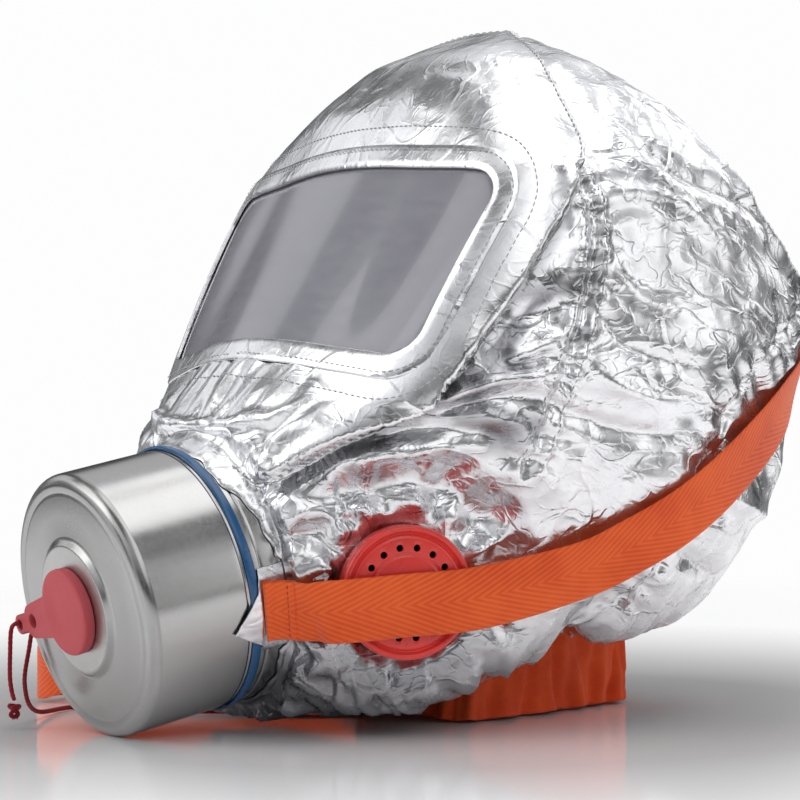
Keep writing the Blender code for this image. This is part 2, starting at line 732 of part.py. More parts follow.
def build_hood():
    points = [grid_point(i, row) for row in range(HOOD_UP) for i in range(HOOD_AROUND)]
    crown = len(points)
    points.append(hood_at(0, 10.0))
    faces = []
    for row in range(HOOD_UP - 1):
        for i in range(HOOD_AROUND):
            j = (i + 1) % HOOD_AROUND
            low = row * HOOD_AROUND
            high = low + HOOD_AROUND
            faces += cell(low + i, low + j, high + j, high + i, i < HOOD_AROUND // 2)
    last = (HOOD_UP - 1) * HOOD_AROUND
    for i in range(HOOD_AROUND):
        faces.append((last + i, last + (i + 1) % HOOD_AROUND, crown))
    hood = add_part("hood_shell", mesh_from("hood_shell", points, faces), FOIL_CLOTH, ROOT)
    thicken(hood, FOIL)

    opening = rounded_rectangle(WINDOW_HALF_WIDTH, WINDOW_HALF_HEIGHT, WINDOW_CORNER)
    boolean(hood, prism("window_opening", opening, -0.030, 0.060, WINDOW_FRAME))
    boolean(hood, prism("canister_opening", circle(CAN_RADIUS + 0.0006, 48), -0.085, -0.030, CANISTER))
    for side in ("left", "right"):
        frame = VALVE_FRAMES[side]
        boolean(hood, prism("valve_opening_" + side, circle(0.0172, 28), -0.020, 0.010, frame))

    film = hood_patch("window_film", 10, (13, 21), -FOIL - 0.0005, CLEAR_FILM)
    thicken(film, FILM)
    margin = 0.006
    sheet = rounded_rectangle(
        WINDOW_HALF_WIDTH + margin, WINDOW_HALF_HEIGHT + margin, WINDOW_CORNER + margin,
    )
    boolean(film, prism("film_edge", sheet, -0.040, 0.060, WINDOW_FRAME), "INTERSECT")

    seam = hood_patch("window_surround", 10, (13, 21), 0.0012, FOIL_CLOTH)
    thicken(seam, 0.0006)
    band = rounded_rectangle(
        WINDOW_HALF_WIDTH + SURROUND_WIDTH - 0.004,
        WINDOW_HALF_HEIGHT + SURROUND_WIDTH,
        WINDOW_CORNER + SURROUND_WIDTH - 0.004,
    )
    boolean(seam, prism("surround_edge", band, -0.040, 0.060, WINDOW_FRAME), "INTERSECT")
    boolean(seam, prism("surround_opening", opening, -0.050, 0.070, WINDOW_FRAME))

    clamp = [
        (CAN_RADIUS + 0.0004, -0.0672),
        (0.0580, -0.0672),
        (0.0580, -0.0692),
        (CAN_RADIUS + 0.0004, -0.0692),
    ]
    turned("hood_clamp_ring", clamp, SPRING_STEEL, CANISTER, 48)


def build_collar():
    around = 36
    rings = [closed_ring(row) for row in COLLAR_ROWS]
    points = []
    rows = 6
    for row in range(rows + 1):
        v = (len(rings) - 1) * (1 - row / rows)
        i = min(int(v), len(rings) - 2)
        for k in range(around):
            u = 12 * k / around
            at = [on_ring(r, u) for r in rings]
            below = at[i - 1] if i > 0 else 2 * at[0] - at[1]
            above = at[i + 2] if i + 2 < len(rings) else 2 * at[-1] - at[-2]
            point = between(below, at[i], at[i + 1], above, v - i)
            point.z = max(point.z, 0.0002)
            points.append(point)
    faces = []
    for row in range(rows):
        for k in range(around):
            j = (k + 1) % around
            low = row * around
            faces.append((low + k, low + j, low + around + j, low + around + k))
    collar = add_part("neck_collar", mesh_from("neck_collar", points, faces), COLLAR_CLOTH, ROOT)
    thicken(collar, 0.0012)


# ---------------------------------------------------------------- harness

def ribbon(name, stations, per_span, width, thick, mat):
    """A flat band along stations of (middle, way its face points)."""
    middles = smooth_line([p for p, _ in stations], per_span)
    faces_out = smooth_line([n for _, n in stations], per_span)
    points = []
    count = len(middles)
    for i in range(count):
        ahead = (middles[min(i + 1, count - 1)] - middles[max(i - 1, 0)]).normalized()
        out = faces_out[i] - ahead * faces_out[i].dot(ahead)
        out.normalize()
        across = out.cross(ahead)
        for side, lift in ((-1, -1), (1, -1), (1, 1), (-1, 1)):
            points.append(middles[i] + across * (side * width / 2) + out * (lift * thick / 2))
    faces = [(3, 2, 1, 0), tuple(4 * (count - 1) + k for k in range(4))]
    for i in range(count - 1):
        for k in range(4):
            m = (k + 1) % 4
            faces.append((4 * i + k, 4 * i + m, 4 * i + 4 + m, 4 * i + 4 + k))
    return add_part(name, mesh_from(name, points, faces), mat, ROOT)


def on_canister_side(sign, radius, depth):
    """Point and way out on the canister's side where a strap is sewn on."""
    x = sign * math.cos(STRAP_END_ANGLE)
    up = math.sin(STRAP_END_ANGLE)
    return can_point(radius * x, radius * up, depth), Vector((x, 0, 0)) + CAN_UP * up


def build_anchor(name, sign):
    """Patch of hood cloth on the canister's side, under the end of the strap."""
    inner = CAN_RADIUS + 0.0004
    outer = CAN_RADIUS + 0.0011
    spread = math.radians(17)
    count = 8
    points = []
    for depth in (0.0505, 0.0622):
        for radius in (inner, outer):
            for i in range(count + 1):
                angle = STRAP_END_ANGLE + spread * (2 * i / count - 1)
                points.append(can_point(sign * radius * math.cos(angle), radius * math.sin(angle), depth))
    row = count + 1
    faces = []
    for i in range(count):
        a, b, c, d = i, row + i, 2 * row + i, 3 * row + i
        faces.append((a, b, b + 1, a + 1))
        faces.append((c, c + 1, d + 1, d))
        faces.append((a, a + 1, c + 1, c))
        faces.append((b, d, d + 1, b + 1))
    for i, flip in ((0, False), (count, True)):
        quad = (i, 2 * row + i, 3 * row + i, row + i)
        faces.append(quad[::-1] if flip else quad)
    if sign < 0:
        faces = [face[::-1] for face in faces]
    mesh = mesh_from(name, points, faces)
    add_part(name, mesh, FOIL_CLOTH, ROOT)


BUCKLE_X = -0.018
BUCKLE_UV = (6.0, 5.68)


def build_harness():
    radius = CAN_RADIUS + 0.0011 + 0.0004 + STRAP_THICK / 2
    lift = 0.0018 + STRAP_THICK
    rear = hood_at(*BUCKLE_UV)
    buckle_y = rear.y + 0.0066
    buckle_z = rear.z
    over = 0.0036

    near = [on_canister_side(1, radius + gap, depth) for gap, depth in STRAP_LEAVES]
    near += [
        (VALVE + VALVE_AXIS * 0.0030 + Vector((-.0080, -.0270, -.0065)), VALVE_AXIS),
        (VALVE + VALVE_AXIS * 0.0030 + Vector((0, 0, -.0045)), VALVE_AXIS),
        (VALVE + VALVE_AXIS * 0.0034 + Vector((.0090, .0270, -.0020)), VALVE_AXIS),
    ]
    for u, v in ((2.92, 3.42), (3.30, 3.66), (3.70, 3.98), (4.12, 4.40), (4.62, 4.92), (5.10, 5.40), (5.50, 5.62)):
        near.append((hood_at(u, v) + hood_out(u, v) * lift, hood_out(u, v)))
    back = Vector((0, 1, 0))
    near += [
        (Vector((BUCKLE_X + 0.022, buckle_y + over - 0.0008, buckle_z)), back),
        (Vector((BUCKLE_X + 0.0108, buckle_y + over, buckle_z)), back),
        (Vector((BUCKLE_X + 0.0008, buckle_y - over, buckle_z)), back),
    ]
    ribbon("strap_left", near, 3, STRAP_WIDTH, STRAP_THICK, WEBBING)

    far = [on_canister_side(-1, radius + gap, depth) for gap, depth in STRAP_LEAVES]
    far += [(Vector(p), Vector(n)) for p, n in SLACK_STRAP]
    far += [
        (Vector((BUCKLE_X - 0.024, buckle_y + over - 0.0008, buckle_z)), back),
        (Vector((BUCKLE_X - 0.0108, buckle_y + over, buckle_z)), back),
        (Vector((BUCKLE_X - 0.0008, buckle_y - over, buckle_z)), back),
    ]
    ribbon("strap_right", far, 3, STRAP_WIDTH, STRAP_THICK, WEBBING)

    build_anchor("strap_anchor_left", 1)
    build_anchor("strap_anchor_right", -1)

    buckle_at = empty("buckle_axis", (BUCKLE_X, buckle_y, buckle_z), (math.pi / 2, 0, 0), ROOT)
    plate = rounded_rectangle(0.0128, 0.0165, 0.002, 3)
    count = len(plate)
    points = [(x, y, -0.0012) for x, y in plate] + [(x, y, 0.0012) for x, y in plate]
    faces = [tuple(reversed(range(count))), tuple(range(count, 2 * count))]
    for i in range(count):
        j = (i + 1) % count
        faces.append((i, j, count + j, count + i))
    buckle = add_part("strap_buckle", mesh_from("strap_buckle", points, faces), BLACK_PLASTIC, buckle_at)
    for sign, label in ((1, "left"), (-1, "right")):
        slot = [
            (sign * 0.00575 + x, y)
            for x, y in ((-0.00395, -0.0135), (0.00395, -0.0135), (0.00395, 0.0135), (-0.00395, 0.0135))
        ]
        boolean(buckle, prism("buckle_slot_" + label, slot, -0.004, 0.004, buckle_at))


# ---------------------------------------------------------------- tether

def cord(name, points, per_span):
    curve = bpy.data.curves.new(name, "CURVE")
    curve.dimensions = "3D"
    curve.bevel_depth = CORD_RADIUS
    curve.bevel_resolution = 2
    curve.use_fill_caps = True
    line = smooth_line(points, per_span)
    spline = curve.splines.new("POLY")
    spline.points.add(len(line) - 1)
    for target, point in zip(spline.points, line):
        target.co = (*point, 1.0)
    obj = bpy.data.objects.new(name, curve)
    curve.materials.append(CORD_RED)
    obj.parent = ROOT
    PARTS.objects.link(obj)


def build_tether():
    cord("tether_cord", TETHER_POINTS, 4)
    cord("tether_tail", TAIL_POINTS, 4)
    knot = [
        (0, 0.0032), (0.0016, 0.0028), (0.0028, 0.0014), (0.0031, -0.0004),
        (0.0026, -0.0022), (0.0012, -0.0034), (0, -0.0036),
    ]
    turned("tether_knot", knot, CORD_RED, ROOT, 16, Vector(TAIL_POINTS[-1]) + Vector((0, 0, -0.0045)))


build_canister()
build_plugs()
build_mask()
build_valves()
build_hood()
build_collar()
build_harness()
build_tether()
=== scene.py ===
"""The looks of the filter smoke hood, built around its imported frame."""

import json
import math

import bmesh
import bpy
import numpy as np
from mathutils import Matrix, Vector
from mathutils.bvhtree import BVHTree


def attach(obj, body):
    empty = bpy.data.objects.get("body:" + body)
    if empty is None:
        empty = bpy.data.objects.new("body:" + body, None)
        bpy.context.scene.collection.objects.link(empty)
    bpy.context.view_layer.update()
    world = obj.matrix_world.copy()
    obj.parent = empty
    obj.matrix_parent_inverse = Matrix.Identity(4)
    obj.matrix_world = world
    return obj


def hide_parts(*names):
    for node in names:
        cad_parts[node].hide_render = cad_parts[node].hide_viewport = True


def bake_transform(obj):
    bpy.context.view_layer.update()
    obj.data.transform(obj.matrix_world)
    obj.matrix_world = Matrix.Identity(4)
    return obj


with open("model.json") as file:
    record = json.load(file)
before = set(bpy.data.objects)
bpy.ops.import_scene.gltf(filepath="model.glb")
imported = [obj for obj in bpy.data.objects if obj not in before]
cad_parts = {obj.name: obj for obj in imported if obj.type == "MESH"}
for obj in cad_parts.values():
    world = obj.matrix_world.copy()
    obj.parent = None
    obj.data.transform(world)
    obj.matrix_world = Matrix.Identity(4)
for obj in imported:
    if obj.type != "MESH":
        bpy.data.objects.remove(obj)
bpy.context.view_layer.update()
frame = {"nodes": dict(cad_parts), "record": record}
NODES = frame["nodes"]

# ---------------------------------------------------------------- dimensions, most of them the CAD's

SHIFT = Vector((0.0125, 0.0019, 0.0))
CAN_RADIUS = 0.054
CAN_EDGE = 0.005
CAN_TILT = math.radians(12.3)
CAN_FACE = Vector((0, -0.1685, 0.049 * math.cos(CAN_TILT) + CAN_EDGE * (1 - math.sin(CAN_TILT))))
CAN_OUT = Vector((0, -math.cos(CAN_TILT), -math.sin(CAN_TILT)))
CAN_UP = Vector((0, -math.sin(CAN_TILT), math.cos(CAN_TILT)))
CAN_JOINT = 0.048
CAN_LENGTH = 0.072
SHEET = 0.0008
SEAT_RADIUS = 0.0255
SEAT_RISE = 0.0035
INLET_RADIUS = 0.0125
PLUG_RADIUS = 0.0175
PLUG_THICK = 0.0048
PLUG_STEPS = 96
LUG_HALF = 0.0072
LUG_HOLE_AT, LUG_HOLE = 0.0310, 0.0030
LUG_EYE_AT, LUG_EYE = 0.0435, 0.0023
PLUG_LUG_ANGLE = math.radians(190)

VALVE = Vector((0.0825, -0.0675, 0.0585))
VALVE_AXIS = Vector((math.sin(math.radians(72)), -math.cos(math.radians(72)), -0.04)).normalized()
COVER_RADIUS = 0.0268
COVER_HOLES = 16
COVER_HOLE_CIRCLE = 0.0180
COVER_HOLE_RADIUS = 0.00145
DRILL_SIDES = 28
HOOD_BEHIND_COVER = 0.0095
VALVE_OPENING = 0.0172
CAN_OPENING = 0.0588

WINDOW_CENTRE = Vector((0.0, -0.050, 0.184))
WINDOW_LEAN = math.radians(32)
WINDOW_OUT = Vector((0, -math.cos(WINDOW_LEAN), math.sin(WINDOW_LEAN)))
WINDOW_UP = Vector((0, math.sin(WINDOW_LEAN), math.cos(WINDOW_LEAN)))
WINDOW_HALF = (0.098, 0.0425)
WINDOW_CORNER = 0.014

STRAP_WIDTH = 0.025
STRAP_THICK = 0.0015
RIB_ACROSS, RIB_ALONG = 0.0021, 0.0050
STRAP_END_ANGLE = math.radians(-12)
STRAP_LEAVES = ((0, 0.0508), (0.0006, 0.0545), (0.0046, 0.0588), (0.0118, 0.0628))
CORD_RADIUS = 0.0010

# stitches: the line's spacing in metres, each stitch's pitch and length in steps of it, and its thickness
STITCH_GRID = 0.0005
STITCH_STEP = 6
STITCH_REACH = 4
STITCH_THICK = 0.00030

HOOD_ROWS = (
    ((0, -.020, .018), (.026, -.020, .018), (.043, -.008, .020), (.041, .030, .034), (.033, .064, .044),
        (.018, .092, .046), (0, .100, .046)),
    ((0, -.062, .008), (.034, -.060, .009), (.058, -.038, .012), (.066, .002, .026), (.062, .042, .034),
        (.042, .088, .038), (0, .104, .040)),
    ((0, -.090, .006), (.046, -.086, .014), (.068, -.060, .018), (.084, -.004, .030), (.088, .044, .038),
        (.066, .092, .048), (0, .122, .054)),
    ((0, -.102, .042), (.058, -.097, .045), (.075, -.062, .046), (.099, .004, .054), (.106, .052, .062),
        (.078, .104, .070), (0, .140, .076)),
    ((0, -.1105, .080), (.060, -.104, .082), (.080, -.063, .084), (.111, .004, .088), (.115, .060, .092),
        (.083, .118, .098), (0, .152, .102)),
    ((0, -.121, .1195), (.057, -.110, .119), (.094, -.070, .118), (.119, .004, .124), (.118, .068, .130),
        (.084, .128, .136), (0, .160, .140)),
    ((0, -.0915, .160), (.050, -.085, .157), (.100, -.068, .150), (.122, .002, .158), (.119, .072, .166),
        (.084, .136, .172), (0, .163, .176)),
    ((0, -.048, .232), (.050, -.044, .229), (.104, -.034, .220), (.117, .012, .216), (.110, .070, .218),
        (.078, .120, .222), (0, .150, .228)),
    ((0, -.030, .262), (.048, -.026, .260), (.088, -.012, .252), (.097, .030, .248), (.090, .072, .246),
        (.060, .106, .248), (0, .132, .252)),
    ((0, .000, .286), (.036, .004, .285), (.060, .018, .279), (.067, .044, .273), (.060, .074, .268),
        (.038, .094, .265), (0, .106, .265)),
    ((0, .048, .2955),) * 7,
)
COLLAR_ROWS = (
    ((0, -.016, .027), (.024, -.016, .027), (.039, -.005, .028), (.037, .030, .040), (.029, .062, .049),
        (.016, .087, .051), (0, .094, .051)),
    ((0, -.017, .020), (.025, -.016, .018), (.040, -.006, .018), (.036, .030, .026), (.027, .064, .032),
        (.014, .092, .034), (0, .098, .034)),
    ((0, -.018, .0050), (.026, -.016, .0014), (.0405, -.0065, .0002), (.032, .030, .0006),
        (.020, .066, .0002),
        (.012, .094, .0002), (0, .102, .0006)),
)
TETHER_POINTS = (
    (-.0428, -.1730, .0431), (-.0433, -.1690, .0420), (-.0465, -.1684, .0340),
    (-.0560, -.1660, .0170), (-.0700, -.1540, .0040), (-.0990, -.1210, .0012),
    (-.0760, -.1010, .0012), (-.0540, -.0840, .0012), (-.0370, -.0600, .0012),
    (-.0220, -.0370, .0012), (-.0080, -.0190, .0012), (-.0010, -.0040, .0040),
    (.0000, .0020, .0180), (.0000, -.0010, .0350), (.0000, -.0100, .0446),
    (.0000, -.0180, .0454), (.0000, -.0280, .0436), (.0000, -.0390, .0420),
    (.0000, -.0510, .0425), (.0000, -.0620, .0453), (.0000, -.0700, .0478),
    (.0000, -.0755, .0484), (.0000, -.0796, .0477),
)
TAIL_POINTS = (
    (-.0428, -.1740, .0433), (-.0429, -.1772, .0430), (-.0436, -.1783, .0400),
    (-.0460, -.1775, .0310), (-.0492, -.1760, .0210), (-.0485, -.1755, .0150),
    (-.0460, -.1755, .0115),
)
SLACK_STRAP = (
    ((-.0820, -.0985, .0460), (-.70, -.70, 0)), ((-.0950, -.1000, .0360), (.10, -1.0, -.1)),
    ((-.1110, -.1090, .0240), (.35, -.94, -.1)), ((-.1310, -.1190, .0150), (.20, -.98, 0)),
    ((-.1440, -.1140, .0140), (-.90, -.43, 0)), ((-.1480, -.0900, .0140), (-1.0, -.10, 0)),
    ((-.1480, -.0500, .0140), (-1.0, .0, 0)), ((-.1450, -.0100, .0145), (-1.0, .05, 0)),
    ((-.1400, .0300, .0260), (-1.0, .10, .1)), ((-.1320, .0680, .0560), (-.97, .30, .1)),
    ((-.1160, .1020, .0960), (-.85, .50, .1)), ((-.0850, .1370, .1350), (-.70, .70, 0)),
)

# ---------------------------------------------------------------- camera
# Its lens, place and direction, CAN_TILT and WINDOW_HALF's width came out of a least-squares fit to places
# picked in the photo, at an assumed distance of 1.1 m.

for name in ("Cube", "Light", "Camera"):
    if name in bpy.data.objects and name not in NODES:
        bpy.data.objects.remove(bpy.data.objects[name], do_unlink=True)


def make_camera():
    data = bpy.data.cameras.new("camera")
    data.lens = 123.4
    data.sensor_width = 36
    camera = bpy.data.objects.new("camera", data)
    bpy.context.scene.collection.objects.link(camera)
    camera.location = (0.9891, -0.6693, 0.125)
    camera.rotation_euler = Vector((-0.8304, 0.5571, 0.0087)).to_track_quat("-Z", "Y").to_euler()
    bpy.context.scene.camera = camera


make_camera()


# ---------------------------------------------------------------- materials

class Finish:
    """A node material, built up from procedural layers."""

    def __init__(self, name, colour, metallic=0.0, roughness=0.5, **sockets):
        self.material = bpy.data.materials.new(name)
        self.material.use_nodes = True
        self.tree = self.material.node_tree
        self.shader = self.tree.nodes["Principled BSDF"]
        self.shader.inputs["Base Color"].default_value = (*colour, 1)
        self.shader.inputs["Metallic"].default_value = metallic
        self.shader.inputs["Roughness"].default_value = roughness
        for socket, value in sockets.items():
            self.shader.inputs[socket.replace("_", " ")].default_value = value
        self.material.diffuse_color = (*colour, 1)
        self.where = self.node("ShaderNodeTexCoord").outputs["Object"]

    def node(self, kind, **settings):
        made = self.tree.nodes.new(kind)
        for key, value in settings.items():
            setattr(made, key, value)
        return made

    def put(self, source, target):
        if hasattr(source, "links"):
            self.tree.links.new(source, target)
        else:
            target.default_value = source

    def stretched(self, scale, turn=(0, 0, 0)):
        mapping = self.node("ShaderNodeMapping")
        mapping.inputs["Scale"].default_value = scale
        mapping.inputs["Rotation"].default_value = turn
        self.put(self.where, mapping.inputs["Vector"])
        return mapping.outputs["Vector"]

    def noise(self, scale, detail=3.0, rough=0.5, vector=None, warp=0.0):
        made = self.node("ShaderNodeTexNoise", noise_type="FBM")
        made.inputs["Scale"].default_value = scale
        made.inputs["Detail"].default_value = detail
        made.inputs["Roughness"].default_value = rough
        made.inputs["Distortion"].default_value = warp
        self.put(vector or self.where, made.inputs["Vector"])
        return made.outputs["Fac"]

    def cells(self, scale, feature="F1", vector=None, output="Distance"):
        made = self.node("ShaderNodeTexVoronoi", feature=feature)
        made.inputs["Scale"].default_value = scale
        self.put(vector or self.where, made.inputs["Vector"])
        return made.outputs[output]

    def spread(self, value, low, high, to_low, to_high):
        made = self.node("ShaderNodeMapRange")
        made.inputs["From Min"].default_value = low
        made.inputs["From Max"].default_value = high
        made.inputs["To Min"].default_value = to_low
        made.inputs["To Max"].default_value = to_high
        self.put(value, made.inputs["Value"])
        return made.outputs["Result"]

    def math(self, operation, a, b=0.0):
        made = self.node("ShaderNodeMath", operation=operation)
        self.put(a, made.inputs[0])
        self.put(b, made.inputs[1])
        return made.outputs[0]

    def colours(self, value, *stops):
        made = self.node("ShaderNodeValToRGB")
        ramp = made.color_ramp
        while len(ramp.elements) < len(stops):
            ramp.elements.new(0.5)
        for element, (position, colour) in zip(ramp.elements, stops):
            element.position = position
            element.color = (*colour, 1)
        self.put(value, made.inputs["Fac"])
        return made.outputs["Color"]

    def bump(self, height, distance, strength=1.0, after=None):
        made = self.node("ShaderNodeBump")
        made.inputs["Distance"].default_value = distance
        made.inputs["Strength"].default_value = strength
        self.put(height, made.inputs["Height"])
        if after:
            self.put(after, made.inputs["Normal"])
        return made.outputs["Normal"]

    def finish(self, colour=None, roughness=None, normal=None):
        for source, socket in ((colour, "Base Color"), (roughness, "Roughness"), (normal, "Normal")):
            if source is not None:
                self.put(source, self.shader.inputs[socket])
        return self.material


def make_foil(name, crinkle):
    """Aluminised cloth: satin metal with thin creases that run on across it and a trace of weave, and, where
    crinkled, painted shade darkening its colour.
    """
    f = Finish(name, (0.86, 0.86, 0.88), 1.0, 0.24)
    worn = f.noise(60, 4, 0.6)
    lines = []
    for scale, width, turn in ((34, 0.030, 0.3), (85, 0.045, 1.9), (190, 0.06, 4.1)):
        where = f.stretched((1.0, 0.62, 0.80), (turn, 0.7 * turn, 0.4))
        across = f.math("ABSOLUTE", f.math("SUBTRACT", f.noise(scale, 1.2, 0.5, where, warp=0.5), 0.5))
        lines.append(f.math("MULTIPLY", f.spread(across, 0.0, width, 1.0, 0.0), 20.0 / scale))
    creases = f.math("ADD", lines[0], f.math("ADD", lines[1], lines[2]))
    dents = f.cells(70, "SMOOTH_F1")
    creases = f.math("ADD", creases, f.math("MULTIPLY", dents, 0.5))
    colour = f.colours(worn, (0.30, (0.78, 0.78, 0.805)), (0.62, (0.90, 0.90, 0.915)))
    if crinkle:
        attribute = f.node("ShaderNodeAttribute", attribute_name="crinkle")
        creases = f.math("MULTIPLY", creases, attribute.outputs["Fac"])
        # painted shade: a point attribute of the hood darkens the foil's colour towards a dark grey where
        # shade falls
        painted_shade_fac = f.node("ShaderNodeAttribute", attribute_name="painted_shade").outputs["Fac"]
        mix = f.node("ShaderNodeMix", data_type="RGBA", blend_type="MULTIPLY")
        f.put(painted_shade_fac, mix.inputs[0])
        f.put(colour, mix.inputs[6])
        mix.inputs[7].default_value = (0.30, 0.30, 0.315, 1)
        colour = mix.outputs[2]
    else:
        creases = f.math("MULTIPLY", creases, 0.35)
    normal = f.bump(creases, 0.0013, 0.5)
    normal = f.bump(f.noise(1100, 3, 0.6), 0.00007, 0.30, normal)
    return f.finish(colour, f.spread(worn, 0.3, 0.7, 0.20, 0.34), normal)


def make_steel(name, colour, roughness, stretch):
    """Sheet steel with its rolling marks drawn out along one direction."""
    f = Finish(name, colour, 1.0, roughness)
    lines = f.noise(1.0, 4, 0.6, f.stretched(stretch))
    cloud = f.noise(38, 3, 0.5)
    marks = f.spread(lines, 0.3, 0.7, roughness - 0.02, roughness + 0.02)
    rough = f.math("ADD", marks, f.spread(cloud, 0.3, 0.7, -0.03, 0.03))
    shade = f.colours(lines, (0.3, tuple(c * 0.97 for c in colour)),
        (0.7, tuple(min(1, c * 1.03) for c in colour)))
    return f.finish(shade, rough, f.bump(lines, 0.000012, 0.4))


def make_rubber(name, colour, dust, roughness=0.62):
    f = Finish(name, colour, 0.0, roughness, Specular_IOR_Level=0.35)
    cloud = f.noise(55, 4, 0.6)
    pores = f.noise(900, 3, 0.65)
    shade = f.colours(cloud, (0.25, colour), (0.75, dust))
    return f.finish(shade, f.spread(cloud, 0.3, 0.7, roughness - 0.08, roughness + 0.1),
        f.bump(pores, 0.00012, 0.5))


def make_plastic(name, colour, roughness, coat=0.0):
    f = Finish(name, colour, 0.0, roughness, Coat_Weight=coat, Coat_Roughness=0.15)
    cloud = f.noise(60, 3, 0.5)
    pores = f.noise(1400, 2, 0.6)
    shade = f.colours(cloud, (0.3, tuple(c * 0.88 for c in colour)),
        (0.7, tuple(min(1, c * 1.08) for c in colour)))
    return f.finish(shade, f.spread(cloud, 0.3, 0.7, roughness - 0.06, roughness + 0.07),
        f.bump(pores, 0.00005, 0.5))


def make_cloth(name, colour, dark, across, along):
    """Plain weave: warp and weft threads at the two pitches, in the piece's own UVs, in metres."""
    f = Finish(name, colour, 0.0, 0.85, Sheen_Weight=0.08, Sheen_Roughness=0.5, Specular_IOR_Level=0.2)
    uv = f.node("ShaderNodeTexCoord").outputs["UV"]
    split = f.node("ShaderNodeSeparateXYZ")
    f.put(uv, split.inputs[0])
    warp = f.math("SINE", f.math("MULTIPLY", split.outputs[0], 2 * math.pi / across))
    weft = f.math("SINE", f.math("MULTIPLY", split.outputs[1], 2 * math.pi / along))
    weave = f.math("MULTIPLY", warp, weft)
    cloud = f.noise(45, 4, 0.6)
    fibre = f.noise(1500, 2, 0.7)
    height = f.math("ADD", f.math("MULTIPLY", weave, 0.5), fibre)
    mix = f.math("ADD", f.math("MULTIPLY", weave, 0.14), cloud)
    shade = f.colours(mix, (0.28, dark), (0.68, colour))
    return f.finish(shade, f.spread(fibre, 0.3, 0.7, 0.78, 0.95), f.bump(height, 0.0003, 0.6))


def make_granules(name, light, dark, size):
    f = Finish(name, light, 0.0, 0.9)
    pick = f.cells(1 / size, output="Color")
    dip = f.cells(1 / size)
    shade = f.colours(pick, (0.1, dark), (0.9, light))
    return f.finish(shade, f.spread(dip, 0, 0.8, 0.95, 0.75),
        f.bump(f.math("MULTIPLY", dip, -1), size * 0.4, 1.0))


def make_window():
    f = Finish("window_grey", (0.30, 0.295, 0.335), 0.0, 0.16, Specular_IOR_Level=0.6, Alpha=0.86,
        Coat_Weight=0.5, Coat_Roughness=0.05)
    cloud = f.noise(14, 2, 0.4)
    scuffs = f.noise(1.0, 4, 0.6, f.stretched((60, 260, 260)))
    shade = f.colours(cloud, (0.35, (0.275, 0.27, 0.31)), (0.65, (0.325, 0.32, 0.36)))
    ripple = f.noise(22, 2, 0.4)
    return f.finish(shade, f.spread(scuffs, 0.35, 0.7, 0.12, 0.26), f.bump(ripple, 0.0012, 0.25))


def make_webbing():
    f = Finish("webbing_orange", (0.82, 0.155, 0.035), 0.0, 0.78, Sheen_Weight=0.3, Sheen_Roughness=0.45,
        Specular_IOR_Level=0.3)
    uv = f.node("ShaderNodeTexCoord").outputs["UV"]
    split = f.node("ShaderNodeSeparateXYZ")
    f.put(uv, split.inputs[0])
    side = f.math("ABSOLUTE", split.outputs[0])
    rib_across = f.math("MULTIPLY", side, 2 * math.pi / RIB_ACROSS)
    rib_along = f.math("MULTIPLY", split.outputs[1], 2 * math.pi / RIB_ALONG)
    rib = f.math("SUBTRACT", rib_across, rib_along)
    rib = f.math("SINE", rib)
    thread = f.math("SINE", f.math("MULTIPLY", split.outputs[1], 2 * math.pi / 0.00065))
    fibre = f.noise(1800, 2, 0.7)
    cloud = f.noise(40, 3, 0.6)
    height = f.math("ADD", f.math("MULTIPLY", f.math("ADD", rib, f.math("MULTIPLY", thread, 0.4)), 0.35),
        fibre)
    mix = f.math("ADD", f.math("MULTIPLY", rib, 0.10), f.math("ADD", f.math("MULTIPLY", cloud, 0.5), 0.25))
    shade = f.colours(mix, (0.30, (0.70, 0.070, 0.014)), (0.62, (0.95, 0.150, 0.030)))
    return f.finish(shade, f.spread(fibre, 0.3, 0.7, 0.68, 0.88), f.bump(height, 0.00022, 0.7))


STEEL_SIDE = make_steel("steel_side", (0.47, 0.465, 0.46), 0.22, (40, 900, 900))
STEEL_FACE = make_steel("steel_face", (0.40, 0.395, 0.39), 0.24, (700, 60, 700))
STEEL_SEAT = make_steel("steel_seat", (0.52, 0.52, 0.51), 0.38, (300, 300, 300))
SPRING_STEEL = make_steel("spring_steel_finish", (0.45, 0.45, 0.46), 0.35, (300, 300, 60))
BLUE = make_plastic("sealing_band_blue", (0.006, 0.085, 0.23), 0.26, coat=0.3)
RED_RUBBER = make_rubber("rubber_red", (0.50, 0.062, 0.075), (0.57, 0.105, 0.12))
SILICONE = make_rubber("silicone_grey", (0.24, 0.25, 0.27), (0.32, 0.33, 0.35), 0.5)
BLACK = make_plastic("plastic_black", (0.022, 0.022, 0.024), 0.42)
RED_PLASTIC = make_plastic("plastic_red", (0.80, 0.045, 0.035), 0.30, coat=0.25)
FOIL_FINISH = make_foil("foil_crinkled", True)
FOIL_PLAIN = make_foil("foil_smooth", False)
FILM = make_window()
WEBBING = make_webbing()
COLLAR_CLOTH = make_cloth("collar_cloth_orange", (0.86, 0.110, 0.026), (0.66, 0.062, 0.016), 0.0011, 0.0009)
CORD = make_cloth("cord_dark_red", (0.34, 0.018, 0.03), (0.20, 0.008, 0.016), 0.0008, 0.0008)
THREAD_GREY = make_cloth("thread_grey", (0.55, 0.55, 0.57), (0.40, 0.40, 0.42), 0.0006, 0.0006)
THREAD_RED = make_cloth("thread_red", (0.52, 0.045, 0.02), (0.40, 0.03, 0.01), 0.0006, 0.0006)
PAPER = make_rubber("filter_paper_finish", (0.78, 0.77, 0.73), (0.86, 0.85, 0.81), 0.9)
DRYING = make_granules("drying_beads", (0.80, 0.77, 0.70), (0.60, 0.57, 0.50), 0.0022)
CATALYST = make_granules("catalyst_grains_finish", (0.10, 0.08, 0.07), (0.02, 0.015, 0.015), 0.0016)

